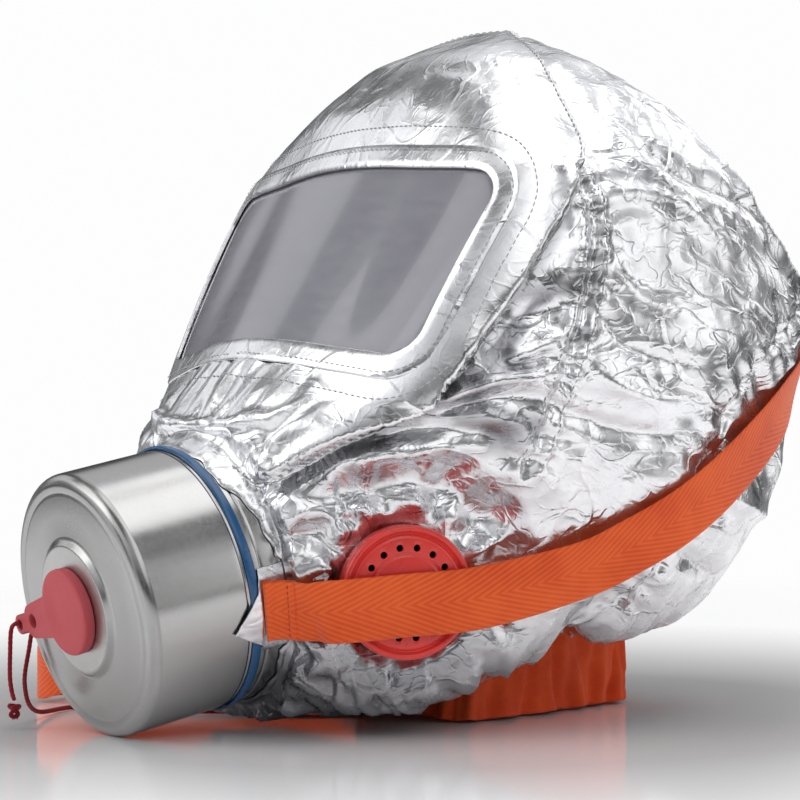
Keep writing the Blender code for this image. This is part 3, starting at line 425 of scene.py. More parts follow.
SLOT_FINISH = {
    "canister_steel": STEEL_SIDE, "blue_tape": BLUE, "spring_steel": SPRING_STEEL,
    "filter_paper": PAPER, "drying_grains": DRYING, "catalyst_grains": CATALYST,
    "red_rubber": RED_RUBBER, "grey_silicone": SILICONE, "black_plastic": BLACK,
    "red_plastic": RED_PLASTIC, "aluminised_cloth": FOIL_PLAIN, "clear_film": FILM,
    "orange_collar_cloth": COLLAR_CLOTH, "orange_webbing": WEBBING, "tether_red": CORD,
}


# ---------------------------------------------------------------- mesh helpers

def piece(name, points, faces, material, body="hood", sharp=None, uv=None):
    """A mesh object from arrays of points and faces, riding on a body."""
    points = np.asarray(points, float) + np.array(SHIFT)
    mesh = bpy.data.meshes.new(name)
    mesh.from_pydata(points.tolist(), [], [tuple(map(int, f)) for f in faces])
    mesh.validate()
    mesh.shade_smooth()
    if sharp is not None:
        mesh.set_sharp_from_angle(angle=math.radians(sharp))
    mesh.materials.append(material)
    if uv is not None:
        layer = mesh.uv_layers.new(name="uv")
        corners = np.zeros(len(mesh.loops), int)
        mesh.loops.foreach_get("vertex_index", corners)
        layer.data.foreach_set("uv", np.asarray(uv, float)[corners].ravel())
    obj = bpy.data.objects.new(name, mesh)
    bpy.context.scene.collection.objects.link(obj)
    if body:
        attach(obj, body)
    return obj


def ring_faces(rows, columns, closed=True, flip=False, start=0):
    """Quads between rows of points, each row a ring or a strip."""
    i = np.arange(rows - 1)[:, None] * columns
    j = np.arange(columns if closed else columns - 1)[None, :]
    k = (j + 1) % columns
    quads = np.stack([i + j, i + k, i + k + columns, i + j + columns], -1).reshape(-1, 4) + start
    return quads[:, ::-1] if flip else quads


def tube_faces(rows, sides, start=0):
    """The faces of a closed tube: its rings, then its two ends."""
    last = start + (rows - 1) * sides
    ends = [tuple(range(start, start + sides))[::-1], tuple(range(last, last + sides))]
    return [tuple(f) for f in ring_faces(rows, sides, start=start)] + ends


def rounded_profile(corners, radius, steps=4):
    """The polyline of (r, z) corners with each inner corner rounded. A corner may carry its own radius."""
    corners = [(*c[:2], c[2] if len(c) > 2 else radius) for c in corners]
    found = [Vector(corners[0][:2])]
    for before, here, after in zip(corners, corners[1:], corners[2:]):
        b, h, a = Vector(before[:2]), Vector(here[:2]), Vector(after[:2])
        cut = min(here[2], (b - h).length * 0.45, (a - h).length * 0.45)
        start, end = h + (b - h).normalized() * cut, h + (a - h).normalized() * cut
        for n in range(steps + 1):
            t = n / steps
            found.append(start * (1 - t) ** 2 + h * (2 * t * (1 - t)) + end * t * t)
    found.append(Vector(corners[-1][:2]))
    return [tuple(p) for p in found]


def frame_matrix(origin, out, up):
    """Local Z along out and local Y along up."""
    across = up.cross(out).normalized()
    up = out.cross(across)
    matrix = Matrix((across, up, out)).transposed().to_4x4()
    matrix.translation = origin
    return matrix


CANISTER = frame_matrix(CAN_FACE, CAN_OUT, CAN_UP)
VALVES = {}
for side, sign in (("left", 1), ("right", -1)):
    centre = Vector((sign * VALVE.x, VALVE.y, VALVE.z))
    axis = Vector((sign * VALVE_AXIS.x, VALVE_AXIS.y, VALVE_AXIS.z))
    VALVES[side] = frame_matrix(centre, axis, Vector((0, 0, 1)) - axis * axis.z)


def placed(points, matrix):
    points = np.asarray(points, float)
    turn = np.array(matrix.to_3x3())
    return points @ turn.T + np.array(matrix.translation)


def lathe(name, profile, matrix, material, body="hood", steps=128, sharp=32, wave=None):
    """Turns a polyline of (r, z) round the local Z axis. A wave varies the radius with the angle."""
    angles = np.linspace(0, 2 * math.pi, steps, endpoint=False)
    rows = []
    for r, z in profile:
        radius = r + (wave(angles, z) if wave and r > 1e-6 else 0)
        rows.append(np.stack([radius * np.cos(angles), radius * np.sin(angles), np.full(steps, z)], 1))
    points = placed(np.concatenate(rows), matrix)
    faces = ring_faces(len(profile), steps)
    return piece(name, points, faces, material, body, sharp)


def merged(obj):
    """Joins the points that a lathe leaves on its axis."""
    mesh = bmesh.new()
    mesh.from_mesh(obj.data)
    bmesh.ops.remove_doubles(mesh, verts=mesh.verts, dist=1e-6)
    bmesh.ops.recalc_face_normals(mesh, faces=mesh.faces)
    mesh.to_mesh(obj.data)
    mesh.free()
    return obj


def cut_spline(p0, p1, p2, p3, t):
    return 0.5 * (2 * p1 + (p2 - p0) * t + (2 * p0 - 5 * p1 + 4 * p2 - p3) * t * t
                  + (3 * p1 - p0 - 3 * p2 + p3) * t ** 3)


def smooth_line(points, per_span):
    """The CAD's smooth curve through the points, with its own end rule."""
    line = np.array([tuple(p) for p in points], float)
    ends = np.concatenate([[2 * line[0] - line[1]], line, [2 * line[-1] - line[-2]]])
    found = [
        cut_spline(ends[i], ends[i + 1], ends[i + 2], ends[i + 3], k / per_span)
        for i in range(len(line) - 1)
        for k in range(per_span)
    ]
    return np.array(found + [line[-1]])


def resampled(line, spacing):
    lengths = np.concatenate([[0], np.cumsum(np.linalg.norm(np.diff(line, axis=0), axis=1))])
    count = max(2, int(round(lengths[-1] / spacing)) + 1)
    at = np.linspace(0, lengths[-1], count)
    return np.stack([np.interp(at, lengths, line[:, k]) for k in range(3)], 1), lengths[-1]


def unit(vectors):
    return vectors / np.maximum(np.linalg.norm(vectors, axis=-1, keepdims=True), 1e-12)


def eased(value, low, high):
    t = np.clip((value - low) / (high - low), 0.0, 1.0)
    return t * t * (3 - 2 * t)


def line_distance(points, line):
    """Distance from each point to a polyline, and how far along the line its nearest place is."""
    start, end = line[:-1], line[1:]
    along = end - start
    lengths = np.linalg.norm(along, axis=1)
    before = np.concatenate([[0], np.cumsum(lengths)[:-1]])
    best = np.full(len(points), 1e9)
    place = np.zeros(len(points))
    for a, d, length, base in zip(start, along, lengths, before):
        t = np.clip(((points - a) @ d) / max(length * length, 1e-15), 0, 1)
        gap = np.linalg.norm(points - (a + t[:, None] * d), axis=1)
        closer = gap < best
        best[closer] = gap[closer]
        place[closer] = base + t[closer] * length
    return best, place


# ---------------------------------------------------------------- tether

def braided(name, route, radius, body):
    """A round braid along a route: a tube whose surface follows the crossing strands."""
    line, length = resampled(route, 0.0004)
    ahead = unit(np.gradient(line, axis=0))
    side = np.zeros_like(line)
    side[0] = unit(np.cross(ahead[0], (0.3, 0.2, 1.0)))
    for i in range(1, len(line)):
        side[i] = unit(side[i - 1] - ahead[i] * (side[i - 1] @ ahead[i]))
    other = np.cross(ahead, side)
    sides = 14
    angles = np.linspace(0, 2 * math.pi, sides, endpoint=False)
    along = np.linspace(0, length, len(line))[:, None]
    turns = along * 2 * math.pi / 0.0046
    weave = np.sin(3 * angles + turns) * np.sin(3 * angles - turns)
    r = radius * (0.94 + 0.12 * weave)
    ends = np.minimum(along, length - along) / radius
    r = r * np.sqrt(np.clip(ends * (2 - np.minimum(ends, 1)), 0.02, 1))
    points = (line[:, None] + side[:, None] * (r * np.cos(angles))[..., None]
              + other[:, None] * (r * np.sin(angles))[..., None])
    faces = tube_faces(len(line), sides)
    uv = np.stack(np.broadcast_arrays(angles * radius, along), -1).reshape(-1, 2)
    obj = piece(name, points.reshape(-1, 3), faces, CORD, body, uv=uv)
    return obj, length


def make_tether():
    route = smooth_line(TETHER_POINTS, 8)
    tether, length = braided("tether_braid", route, CORD_RADIUS, None)
    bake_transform(tether)
    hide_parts("tether_cord")

    route = smooth_line(TAIL_POINTS, 8)
    tail, length = braided("tether_tail_braid", route, CORD_RADIUS, "inlet_plug")
    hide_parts("tether_tail")

    # The knot is two crossed turns of the same braid, with a frayed brush of ends below it.
    end = np.array(TAIL_POINTS[-1]) + np.array((0, 0, -0.0036))
    t = np.linspace(0, 2 * math.pi, 90)
    loop = np.stack([
        0.00135 * (np.sin(t) + 0.75 * np.sin(2 * t)),
        -0.0016 * np.sin(3 * t),
        0.00165 * (np.cos(t) - 0.75 * np.cos(2 * t)),
    ], 1) + end
    knot, _ = braided("tether_knot_turns", loop, CORD_RADIUS * 0.95, "inlet_plug")
    rng = np.random.default_rng(4)
    points, faces = [], []
    for n in range(26):
        angle, lean = rng.uniform(0, 2 * math.pi), rng.uniform(0.1, 0.75)
        root = end + np.array((0.0006 * math.cos(angle), 0.0006 * math.sin(angle), -0.0024))
        way = unit(np.array((math.cos(angle) * lean, math.sin(angle) * lean, -1.0)))
        reach = rng.uniform(0.0012, 0.0021)
        side = unit(np.cross(way, (0.1, 1, 0.2)))
        other = np.cross(way, side)
        base = len(points)
        for along, thick in ((0, 0.00018), (0.6, 0.00014), (1.0, 0.00004)):
            for k in range(4):
                a = k * math.pi / 2
                points.append(root + way * reach * along + (side * math.cos(a) + other * math.sin(a)) * thick)
        faces += [tuple(f) for f in ring_faces(3, 4, start=base)]
        faces.append((base + 8, base + 9, base + 10, base + 11))
    fray = piece("tether_frayed_end", points, faces, CORD, "inlet_plug")
    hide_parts("tether_knot")


make_tether()


# ---------------------------------------------------------------- canister

def make_canister():
    inner = CAN_RADIUS - SHEET
    arc = [
        (CAN_RADIUS - CAN_EDGE + CAN_EDGE * math.sin(a), -CAN_EDGE * (1 - math.cos(a)))
        for a in np.linspace(0, math.pi / 2, 10)
    ]
    face = rounded_profile([
        (SEAT_RADIUS - 0.0002, SEAT_RISE), (SEAT_RADIUS + 0.0007, SEAT_RISE, 0.0006),
        (SEAT_RADIUS + 0.0028, 0.0011, 0.0012),
        (0.0400, 0.0006, 0.004), (0.0458, 0.0001, 0.0006), (0.0466, -0.0002, 0.0006),
        (CAN_RADIUS - CAN_EDGE, 0.0),
    ], 0.0008)
    side = [(CAN_RADIUS, -0.0055), (CAN_RADIUS, -0.020), (CAN_RADIUS, -0.034)] + rounded_profile([
        (CAN_RADIUS, -0.0420), (CAN_RADIUS, -0.0442), (CAN_RADIUS - 0.0003, -0.0450),
        (CAN_RADIUS, -0.0458), (CAN_RADIUS, -CAN_JOINT + 0.0003), (inner, -CAN_JOINT + 0.0003),
        (inner, -0.030),
    ], 0.0004)
    front = lathe("canister_face", face + arc[1:], CANISTER, STEEL_FACE, steps=192)
    lathe("canister_side", [arc[-1]] + side, CANISTER, STEEL_SIDE, steps=192)
    seat = rounded_profile([
        (INLET_RADIUS, -0.0060), (INLET_RADIUS, SEAT_RISE, 0.0007), (0.0190, SEAT_RISE),
        (SEAT_RADIUS - 0.0002, SEAT_RISE),
    ], 0.0007)
    lathe("canister_seat_ring", seat, CANISTER, STEEL_SEAT, steps=160)
    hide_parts("canister_front_shell")

    rear = rounded_profile([
        (inner - 0.0003, -0.0425), (inner - 0.0003, -CAN_JOINT - 0.0003),
        (CAN_RADIUS, -CAN_JOINT - 0.0003, 0.0004),
        (CAN_RADIUS, -0.0525), (CAN_RADIUS - 0.0003, -0.0533, 0.0003), (CAN_RADIUS, -0.0541),
        (CAN_RADIUS, -CAN_LENGTH, 0.0050), (0.030, -CAN_LENGTH), (0.0190, -CAN_LENGTH, 0.0006),
        (0.0190, -0.0840, 0.0005), (0.0150, -0.0840, 0.0005), (0.0150, -CAN_LENGTH + 0.001),
    ], 0.0003)
    shell = lathe("canister_back", rear, CANISTER, STEEL_SIDE, steps=192)
    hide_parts("canister_rear_shell")

    # The sealing band is wound on with its end lapped over its start.
    band = rounded_profile([
        (CAN_RADIUS + 0.0002, -CAN_JOINT + 0.0019), (CAN_RADIUS + 0.0009, -CAN_JOINT + 0.0021, 0.0004),
        (CAN_RADIUS + 0.0013, -CAN_JOINT + 0.0011, 0.0008),
        (CAN_RADIUS + 0.0013, -CAN_JOINT - 0.0011, 0.0008),
        (CAN_RADIUS + 0.0009, -CAN_JOINT - 0.0021, 0.0004), (CAN_RADIUS + 0.0002, -CAN_JOINT - 0.0019),
    ], 0.0004)
    lap = lambda angles, z: 0.00018 * eased(np.cos(angles - 1.2), 0.985, 0.99) + 0.00005 * np.sin(9 * angles)
    ring = lathe("sealing_band", band, CANISTER, BLUE, steps=256, wave=lap)
    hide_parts("blue_seal_ring")


def plug_outline(angle):
    """The plug's disc with its pull lug, and the small eye at the lug's tip."""
    half, hole_at, eye_at, eye = LUG_HALF, LUG_HOLE_AT, LUG_EYE_AT, 0.0042
    disc = []
    side = math.asin(half / PLUG_RADIUS)
    for i in range(PLUG_STEPS + 1):
        a = side + 0.10 + (2 * math.pi - 2 * side - 0.20) * i / PLUG_STEPS
        disc.append((PLUG_RADIUS * math.cos(a), PLUG_RADIUS * math.sin(a)))
    lug = [
        (hole_at + half * math.cos(a), half * math.sin(a))
        for a in np.linspace(-math.pi / 2 + 0.1, -math.radians(30), 12)
    ]
    tip = [(eye_at + eye * math.cos(a), eye * math.sin(a)) for a in np.radians(np.linspace(-125, 125, 22))]
    back = [(x, -y) for x, y in lug[::-1]]
    outline = disc + lug + tip + back
    cos, sin = math.cos(angle), math.sin(angle)
    return [(x * cos - y * sin, x * sin + y * cos) for x, y in outline]


def make_plug():
    low = SEAT_RISE + 0.0003
    high = low + PLUG_THICK
    outline = plug_outline(PLUG_LUG_ANGLE)
    count = len(outline)
    points = [(x, y, low) for x, y in outline] + [(x, y, high - 0.0007) for x, y in outline]
    faces = [tuple(range(count))[::-1], tuple(range(count, 2 * count))]
    faces += [tuple(f) for f in ring_faces(2, count)]
    plug = piece("plug_disc", placed(points, CANISTER), faces, RED_RUBBER, "inlet_plug")
    cos, sin = math.cos(PLUG_LUG_ANGLE), math.sin(PLUG_LUG_ANGLE)
    for at, radius in ((LUG_HOLE_AT, LUG_HOLE), (LUG_EYE_AT, LUG_EYE)):
        drilled(plug, [(at * cos, at * sin)], radius, low - 0.002, high + 0.002, CANISTER)
    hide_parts("inlet_plug")

    # The disc's face is a shallow dished cap with a rounded rim, and a stem holds it in the inlet.
    cap = rounded_profile([
        (0, high - 0.0004), (0.0060, high - 0.0004), (0.0128, high - 0.0001, 0.003), (0.0156, high, 0.0012),
        (PLUG_RADIUS, high - 0.0003, 0.0012), (PLUG_RADIUS + 0.0002, low + 0.0022, 0.0008),
        (PLUG_RADIUS - 0.0008, low + 0.0002, 0.0006), (0.0135, low + 0.0001),
    ], 0.0008, 5)
    merged(lathe("plug_cap", cap, CANISTER, RED_RUBBER, "inlet_plug", 128, 60))
    stem = rounded_profile([
        (INLET_RADIUS - 0.0009, low + 0.0005), (INLET_RADIUS - 0.0009, 0.0025),
        (INLET_RADIUS - 0.0003, 0.0012, 0.0004), (INLET_RADIUS - 0.0003, -0.0004, 0.0004),
        (INLET_RADIUS - 0.0009, -0.0012), (INLET_RADIUS - 0.0012, -0.0040, 0.0008), (0, -0.0040),
    ], 0.0005)
    merged(lathe("plug_stem", stem, CANISTER, RED_RUBBER, "inlet_plug", 96, 60))


def applied(obj):
    """Replaces an object's mesh with what its modifiers make of it."""
    graph = bpy.context.evaluated_depsgraph_get()
    bpy.context.view_layer.update()
    made = bpy.data.meshes.new_from_object(obj.evaluated_get(graph))
    obj.modifiers.clear()
    obj.data = made
    return obj


def bevelled(obj, width, angle):
    """Breaks the edges that are sharper than this angle in degrees."""
    bevel = obj.modifiers.new("edge", "BEVEL")
    bevel.width = width
    bevel.segments = 2
    bevel.limit_method = "ANGLE"
    bevel.angle_limit = math.radians(angle)


def thickened(obj, thickness, offset):
    """Gives a sheet its thickness, and puts it back on the hood's body."""
    modifier = obj.modifiers.new("thickness", "SOLIDIFY")
    modifier.thickness = thickness
    modifier.offset = offset
    applied(obj)
    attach(obj, "hood")


# ---------------------------------------------------------------- valves

def drilled(obj, holes, radius, low, high, matrix):
    """Bores round holes through an object, along the frame's Z axis."""
    points, faces = [], []
    for x, y in holes:
        base = len(points)
        for z in (low, high):
            for a in np.linspace(0, 2 * math.pi, DRILL_SIDES, endpoint=False):
                points.append((x + radius * math.cos(a), y + radius * math.sin(a), z))
        top = base + DRILL_SIDES
        faces += [tuple(range(base, top))[::-1], tuple(range(top, top + DRILL_SIDES))]
        faces += [tuple(f) for f in ring_faces(2, DRILL_SIDES, start=base)]
    mesh = bpy.data.meshes.new("cutter")
    mesh.from_pydata((placed(points, matrix) + np.array(SHIFT)).tolist(), [],
        [tuple(map(int, f)) for f in faces])
    cutter = bpy.data.objects.new("cutter", mesh)
    bpy.context.scene.collection.objects.link(cutter)
    modifier = obj.modifiers.new("holes", "BOOLEAN")
    modifier.object = cutter
    modifier.solver = "EXACT"
    bevelled(obj, radius * 0.14, 55)
    applied(obj)
    bpy.data.objects.remove(cutter, do_unlink=True)
    obj.data.shade_smooth()
    obj.data.set_sharp_from_angle(angle=math.radians(45))


def make_cover(side):
    """A breathing valve's cover: a rolled lip, a groove and a flat disc with a ring of holes."""
    matrix = VALVES[side]
    profile = rounded_profile([
        (0, 0.0002), (0.0050, 0.0002), (0.0142, 0.0001, 0.0006), (0.0149, -0.0004, 0.0004),
        (0.0156, -0.0004, 0.0005),
        (0.0163, 0.0, 0.0004), (0.0216, 0.0, 0.0006), (0.0226, -0.0005, 0.0004), (0.0232, -0.0013, 0.0004),
        (0.0239, -0.0006, 0.0004), (0.0246, 0.0006, 0.0006), (COVER_RADIUS - 0.0008, 0.0006, 0.0008),
        (COVER_RADIUS, -0.0008, 0.0010), (COVER_RADIUS - 0.0002, -0.0079, 0.0004), (0.0240, -0.0079, 0.0004),
        (0.0240, -0.0030, 0.0006), (0.0222, -0.0016, 0.0006), (0, -0.0016),
    ], 0.0006, 4)
    cover = merged(lathe("valve_rim_" + side, profile, matrix, RED_PLASTIC, steps=144))
    angles = 2 * math.pi * (np.arange(COVER_HOLES) + 0.5) / COVER_HOLES
    circle = [(COVER_HOLE_CIRCLE * math.cos(a), COVER_HOLE_CIRCLE * math.sin(a)) for a in angles]
    drilled(cover, circle, COVER_HOLE_RADIUS, -0.006, 0.004, matrix)
    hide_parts("valve_cover_" + side)


make_canister()
make_plug()
for side in VALVES:
    make_cover(side)


# ---------------------------------------------------------------- the hood's surface

def closed_ring(half):
    left = [list(p) for p in half]
    return left + [[-p[0], p[1], p[2]] for p in reversed(left[1:-1])]


def on_rings(rings, u):
    i = np.floor(u).astype(int)
    t = (u - i)[:, None]
    return np.array([cut_spline(r[(i - 1) % 12], r[i % 12], r[(i + 1) % 12], r[(i + 2) % 12], t)
        for r in rings])


HOOD_RINGS = np.array([closed_ring(row) for row in HOOD_ROWS])


def hood_raw(u, v):
    rings = on_rings(HOOD_RINGS, u)
    last = len(rings) - 1
    n = np.arange(len(u))
    i = np.minimum(np.floor(v).astype(int), last - 1)
    below = np.where((i > 0)[:, None], rings[np.maximum(i - 1, 0), n], 2 * rings[0] - rings[1])
    over = on_rings(HOOD_RINGS[last - 1:last], u + 6)[0]
    above = np.where((i + 2 <= last)[:, None], rings[np.minimum(i + 2, last), n], over)
    return cut_spline(below, rings[i, n], rings[i + 1, n], above, (v - i)[:, None])


def polar(points, matrix):
    """Distance from a frame's axis, angle round it and height along it."""
    local = (points - np.array(matrix.translation)) @ np.array(matrix.to_3x3())
    return np.hypot(local[:, 0], local[:, 1]), np.arctan2(local[:, 1], local[:, 0]), local[:, 2]


def press_flat(points, matrix, depth, inner, outer, reach, where=True):
    radius, _, height = polar(points, matrix)
    miss = height + depth
    share = (1 - eased(radius, inner, outer)) * (1 - eased(np.abs(miss), reach, 1.8 * reach)) * where
    return points - np.array(matrix.to_3x3())[:, 2] * (miss * share)[:, None]


def hood_at(u, v):
    u, v = np.atleast_1d(np.asarray(u, float)), np.atleast_1d(np.asarray(v, float))
    points = hood_raw(u, v)
    for matrix in VALVES.values():
        points = press_flat(points, matrix, HOOD_BEHIND_COVER, 0.040, 0.058, 0.018)
    return press_flat(points, CANISTER, 0.0632, 0.062, 0.074, 0.008, v < 5.2)


def hood_out(u, v):
    u, v = np.atleast_1d(np.asarray(u, float)), np.atleast_1d(np.asarray(v, float))
    along = hood_at(u + 0.05, v) - hood_at(u - 0.05, v)
    up = hood_at(u, np.minimum(v + 0.05, 9.95)) - hood_at(u, np.maximum(v - 0.05, 0.0))
    return unit(np.cross(along, up))


def both_sides(uv):
    """A line on the wearer's left, and the same line on the right."""
    return [uv, [(12 - u, v) for u, v in uv]]


def surface_line(uv, per_span=6):
    line = smooth_line([(u, v, 0) for u, v in uv], per_span)
    return hood_at(line[:, 0], line[:, 1])


def strap_end_stations(sign):
    """A strap's first places, on the canister's side over the patch of hood cloth."""
    radius = CAN_RADIUS + 0.0011 + 0.0004 + STRAP_THICK / 2
    out = Vector((sign * math.cos(STRAP_END_ANGLE), 0, 0)) + CAN_UP * math.sin(STRAP_END_ANGLE)
    return [(CAN_FACE + out * (radius + gap) - CAN_OUT * depth, out) for gap, depth in STRAP_LEAVES]


def strap_left_stations():
    stations = strap_end_stations(1)
    stations += [
        (VALVE + VALVE_AXIS * 0.0030 + Vector((-.0080, -.0270, -.0065)), VALVE_AXIS),
        (VALVE + VALVE_AXIS * 0.0030 + Vector((0, 0, -.0045)), VALVE_AXIS),
        (VALVE + VALVE_AXIS * 0.0034 + Vector((.0090, .0270, -.0020)), VALVE_AXIS),
    ]
    for u, v in ((2.92, 3.42), (3.30, 3.66), (3.70, 3.98), (4.12, 4.40), (4.62, 4.92), (5.10, 5.40),
        (5.50, 5.62)):
        out = Vector(hood_out(u, v)[0])
        stations.append((Vector(hood_at(u, v)[0]) + out * (0.0018 + STRAP_THICK), out))
    return stations


BUCKLE = Vector((-0.018, hood_at(6.0, 5.68)[0][1] + 0.0066, hood_at(6.0, 5.68)[0][2]))


def buckle_stations(sign):
    back = Vector((0, 1, 0))
    return [
        (BUCKLE + Vector((sign * (0.022 if sign > 0 else 0.024), 0.0028, 0)), back),
        (BUCKLE + Vector((sign * 0.0108, 0.0036, 0)), back),
        (BUCKLE + Vector((sign * 0.0008, -0.0036, 0)), back),
    ]


# ---------------------------------------------------------------- crumpling

def lattice(i, seed):
    """A steady pseudo-random value from -1 to 1 for each whole-number corner."""
    h = (i[:, 0] * 73856093) ^ (i[:, 1] * 19349663) ^ (i[:, 2] * 83492791) ^ (seed * 668265263)
    h = (h ^ (h >> 13)) & 0xFFFFFFFF
    h = (h * 1274126177) & 0xFFFFFFFF
    h = h ^ (h >> 16)
    return (h & 0xFFFF) / 32767.5 - 1.0


def facets(points, size, seed, squeeze=(1, 1, 1)):
    """Noise that is flat across tetrahedra of this size, for flat facets and straight creases."""
    turn = (Matrix.Rotation(0.9 + seed, 3, "X") @ Matrix.Rotation(0.5 + 2 * seed, 3, "Y")
            @ Matrix.Rotation(1.7 * seed, 3, "Z"))
    scaled = (points * np.array(squeeze)) @ np.array(turn).T / size
    base = np.floor(scaled).astype(np.int64)
    part = scaled - base
    order = np.argsort(-part, axis=1)
    part = np.take_along_axis(part, order, axis=1)
    value = lattice(base, seed) * (1 - part[:, 0])
    rows = np.arange(len(points))
    corner = base.copy()
    for k in range(3):
        corner[rows, order[:, k]] += 1
        following = part[:, k + 1] if k < 2 else 0
        value = value + lattice(corner, seed) * (part[:, k] - following)
    return value


def soft_noise(points, size, seed):
    """Three slow waves, to bend the straight creases."""
    rng = np.random.default_rng(seed)
    total = 0
    for _ in range(4):
        way = unit(rng.normal(size=3))
        total = total + np.sin(points @ way * 2 * math.pi / (size * rng.uniform(0.7, 1.4))
            + rng.uniform(0, 6.3))
    return total / 4


def zigzag(x):
    """A wave with sharp ridges and round valleys."""
    return 1 - 2 * np.abs(2 * (x - np.floor(x + 0.5))) ** 0.75


def ridge(distance, width, sharpness=1.5):
    return np.clip(1 - distance / width, 0, 1) ** sharpness


# Lines on the hood in (u, v): u is 0 at the front, 3 at the wearer's left and 6 at the back,
# v is 0 at the neck and 10 at the crown.
# Most points of the front, side and rear seams and of the first two folds were worked out by a scratch
# program, from places picked in the photo. Some stand as it printed them, and the others were rounded or
# moved a little by hand.
FRONT_SEAM = [(.45, 4.46), (.72, 4.52), (1.16, 4.76), (1.54, 5.04), (1.84, 5.22), (2.04, 5.38), (2.16, 5.78),
    (2.25, 6.08), (2.36, 6.34), (2.43, 6.54), (2.54, 6.84), (2.62, 7.2), (2.60, 7.6), (2.44, 8.08),
    (2.08, 8.66), (1.70, 9.15), (1.25, 9.60), (.60, 9.90)]
SIDE_SEAM = [(2.62, 7.2), (2.78, 6.9), (2.84, 6.66), (2.86, 6.32), (2.81, 6.02), (2.73, 5.52), (2.65, 4.95),
    (2.57, 4.55)]
REAR_SEAM = [(4.86, 6.10), (4.36, 5.76), (4.05, 5.14), (3.90, 4.56), (3.80, 4.0), (3.72, 3.3), (3.60, 2.5)]
BACK_SEAM = [(6.0, 9.8), (6.0, 9.0), (6.0, 8.0), (6.0, 7.0), (6.0, 6.2), (6.0, 5.0), (6.0, 4.0), (6.0, 3.0),
    (6.0, 2.0), (6.0, 1.0)]
FOLDS = [
    # line, width, height
    ([(2.38, 5.86), (2.56, 5.99), (2.76, 6.12)], 0.0060, 0.0046),
    ([(2.02, 5.40), (2.16, 5.54), (2.32, 5.72), (2.46, 5.77), (2.70, 5.72)], 0.0065, 0.0048),
    ([(2.40, 6.14), (2.54, 6.24), (2.72, 6.30)], 0.0150, -0.0085),
    ([(2.32, 5.80), (2.46, 5.88), (2.66, 5.93)], 0.0060, -0.0046),
    ([(2.12, 5.30), (2.30, 5.44), (2.54, 5.52)], 0.0090, -0.0046),
    ([(1.60, 4.90), (1.90, 5.04), (2.20, 5.06), (2.46, 4.96)], 0.0070, -0.0042),
    ([(1.40, 4.72), (1.74, 4.84), (2.06, 4.82)], 0.0055, 0.0034),
    ([(2.36, 5.30), (2.52, 5.12), (2.60, 4.84)], 0.0055, 0.0036),
    ([(2.90, 6.60), (3.20, 6.30), (3.50, 6.15)], 0.0070, 0.0030),
    ([(2.90, 6.30), (3.15, 5.90), (3.60, 5.60)], 0.0080, -0.0030),
    ([(2.80, 5.90), (3.10, 5.45), (3.40, 5.20)], 0.0070, 0.0032),
    ([(2.70, 5.40), (3.00, 5.00), (3.50, 4.80)], 0.0080, -0.0030),
    ([(2.95, 7.1), (3.4, 7.0), (4.0, 6.6)], 0.0080, 0.0026),
    ([(3.2, 7.9), (3.6, 7.3), (4.4, 6.9)], 0.0090, -0.0028),
    ([(4.9, 6.15), (4.6, 6.6), (4.3, 7.3), (4.0, 8.2)], 0.0080, 0.0034),
    ([(4.9, 6.1), (5.2, 5.4), (5.3, 4.4)], 0.0080, 0.0030),
    ([(4.2, 5.4), (4.5, 4.9), (4.7, 4.2)], 0.0080, -0.0030),
    ([(3.1, 3.1), (3.3, 2.6), (3.35, 2.1)], 0.0060, 0.0034),
    ([(3.9, 3.4), (4.3, 3.0), (4.7, 2.7)], 0.0080, -0.0034),
    ([(4.1, 4.2), (4.6, 3.8), (5.2, 3.6)], 0.0080, 0.0030),
    ([(-1.15, 5.36), (-.5, 5.20), (0, 5.13), (.55, 5.20), (1.2, 5.44)], 0.0055, 0.0028),
    ([(-.95, 5.12), (-.3, 4.99), (.35, 5.0), (.95, 5.20)], 0.0050, -0.0022),
    ([(1.25, 5.50), (.9, 5.22), (.8, 4.98), (.95, 4.80)], 0.0050, -0.0026),
]
POCKETS = [
    # line, width, how dark the painted shade is
    ([(2.36, 6.10), (2.50, 6.22), (2.74, 6.28)], 0.0170, 1.0),
    ([(2.30, 5.80), (2.46, 5.88), (2.68, 5.92)], 0.0060, 0.9),
    ([(1.56, 4.90), (1.90, 5.06), (2.22, 5.08), (2.46, 4.98)], 0.0120, 0.8),
    ([(2.30, 5.46), (2.46, 5.30), (2.60, 5.06)], 0.0070, 0.7),
    ([(1.20, 4.60), (1.50, 4.64), (1.80, 4.58)], 0.0080, 0.6),
]
NOTCH = [(3.42, 0.9), (3.40, 1.6), (3.34, 2.3), (3.28, 2.9)]
PANEL = [(0, 4.36)] + FRONT_SEAM + [(0, 10.05)]


def inside_panel(u, v):
    """True where (u, v) lies on the smooth front panel."""
    u = np.abs((u + 6) % 12 - 6)
    inside = np.zeros(len(u), bool)
    for (u0, v0), (u1, v1) in zip(PANEL, PANEL[1:] + PANEL[:1]):
        crosses = (v0 > v) != (v1 > v)
        at = u0 + (v - v0) * (u1 - u0) / (v1 - v0 if v1 != v0 else 1e-9)
        inside ^= crosses & (u < at)
    return inside


def window_place(points):
    away = points - np.array(WINDOW_CENTRE)
    return away[:, 0], away @ np.array(WINDOW_UP), away @ np.array(WINDOW_OUT)


def window_taper(y):
    """The window is a little wider at its top than at its foot."""
    return 1 + 1.10 * y


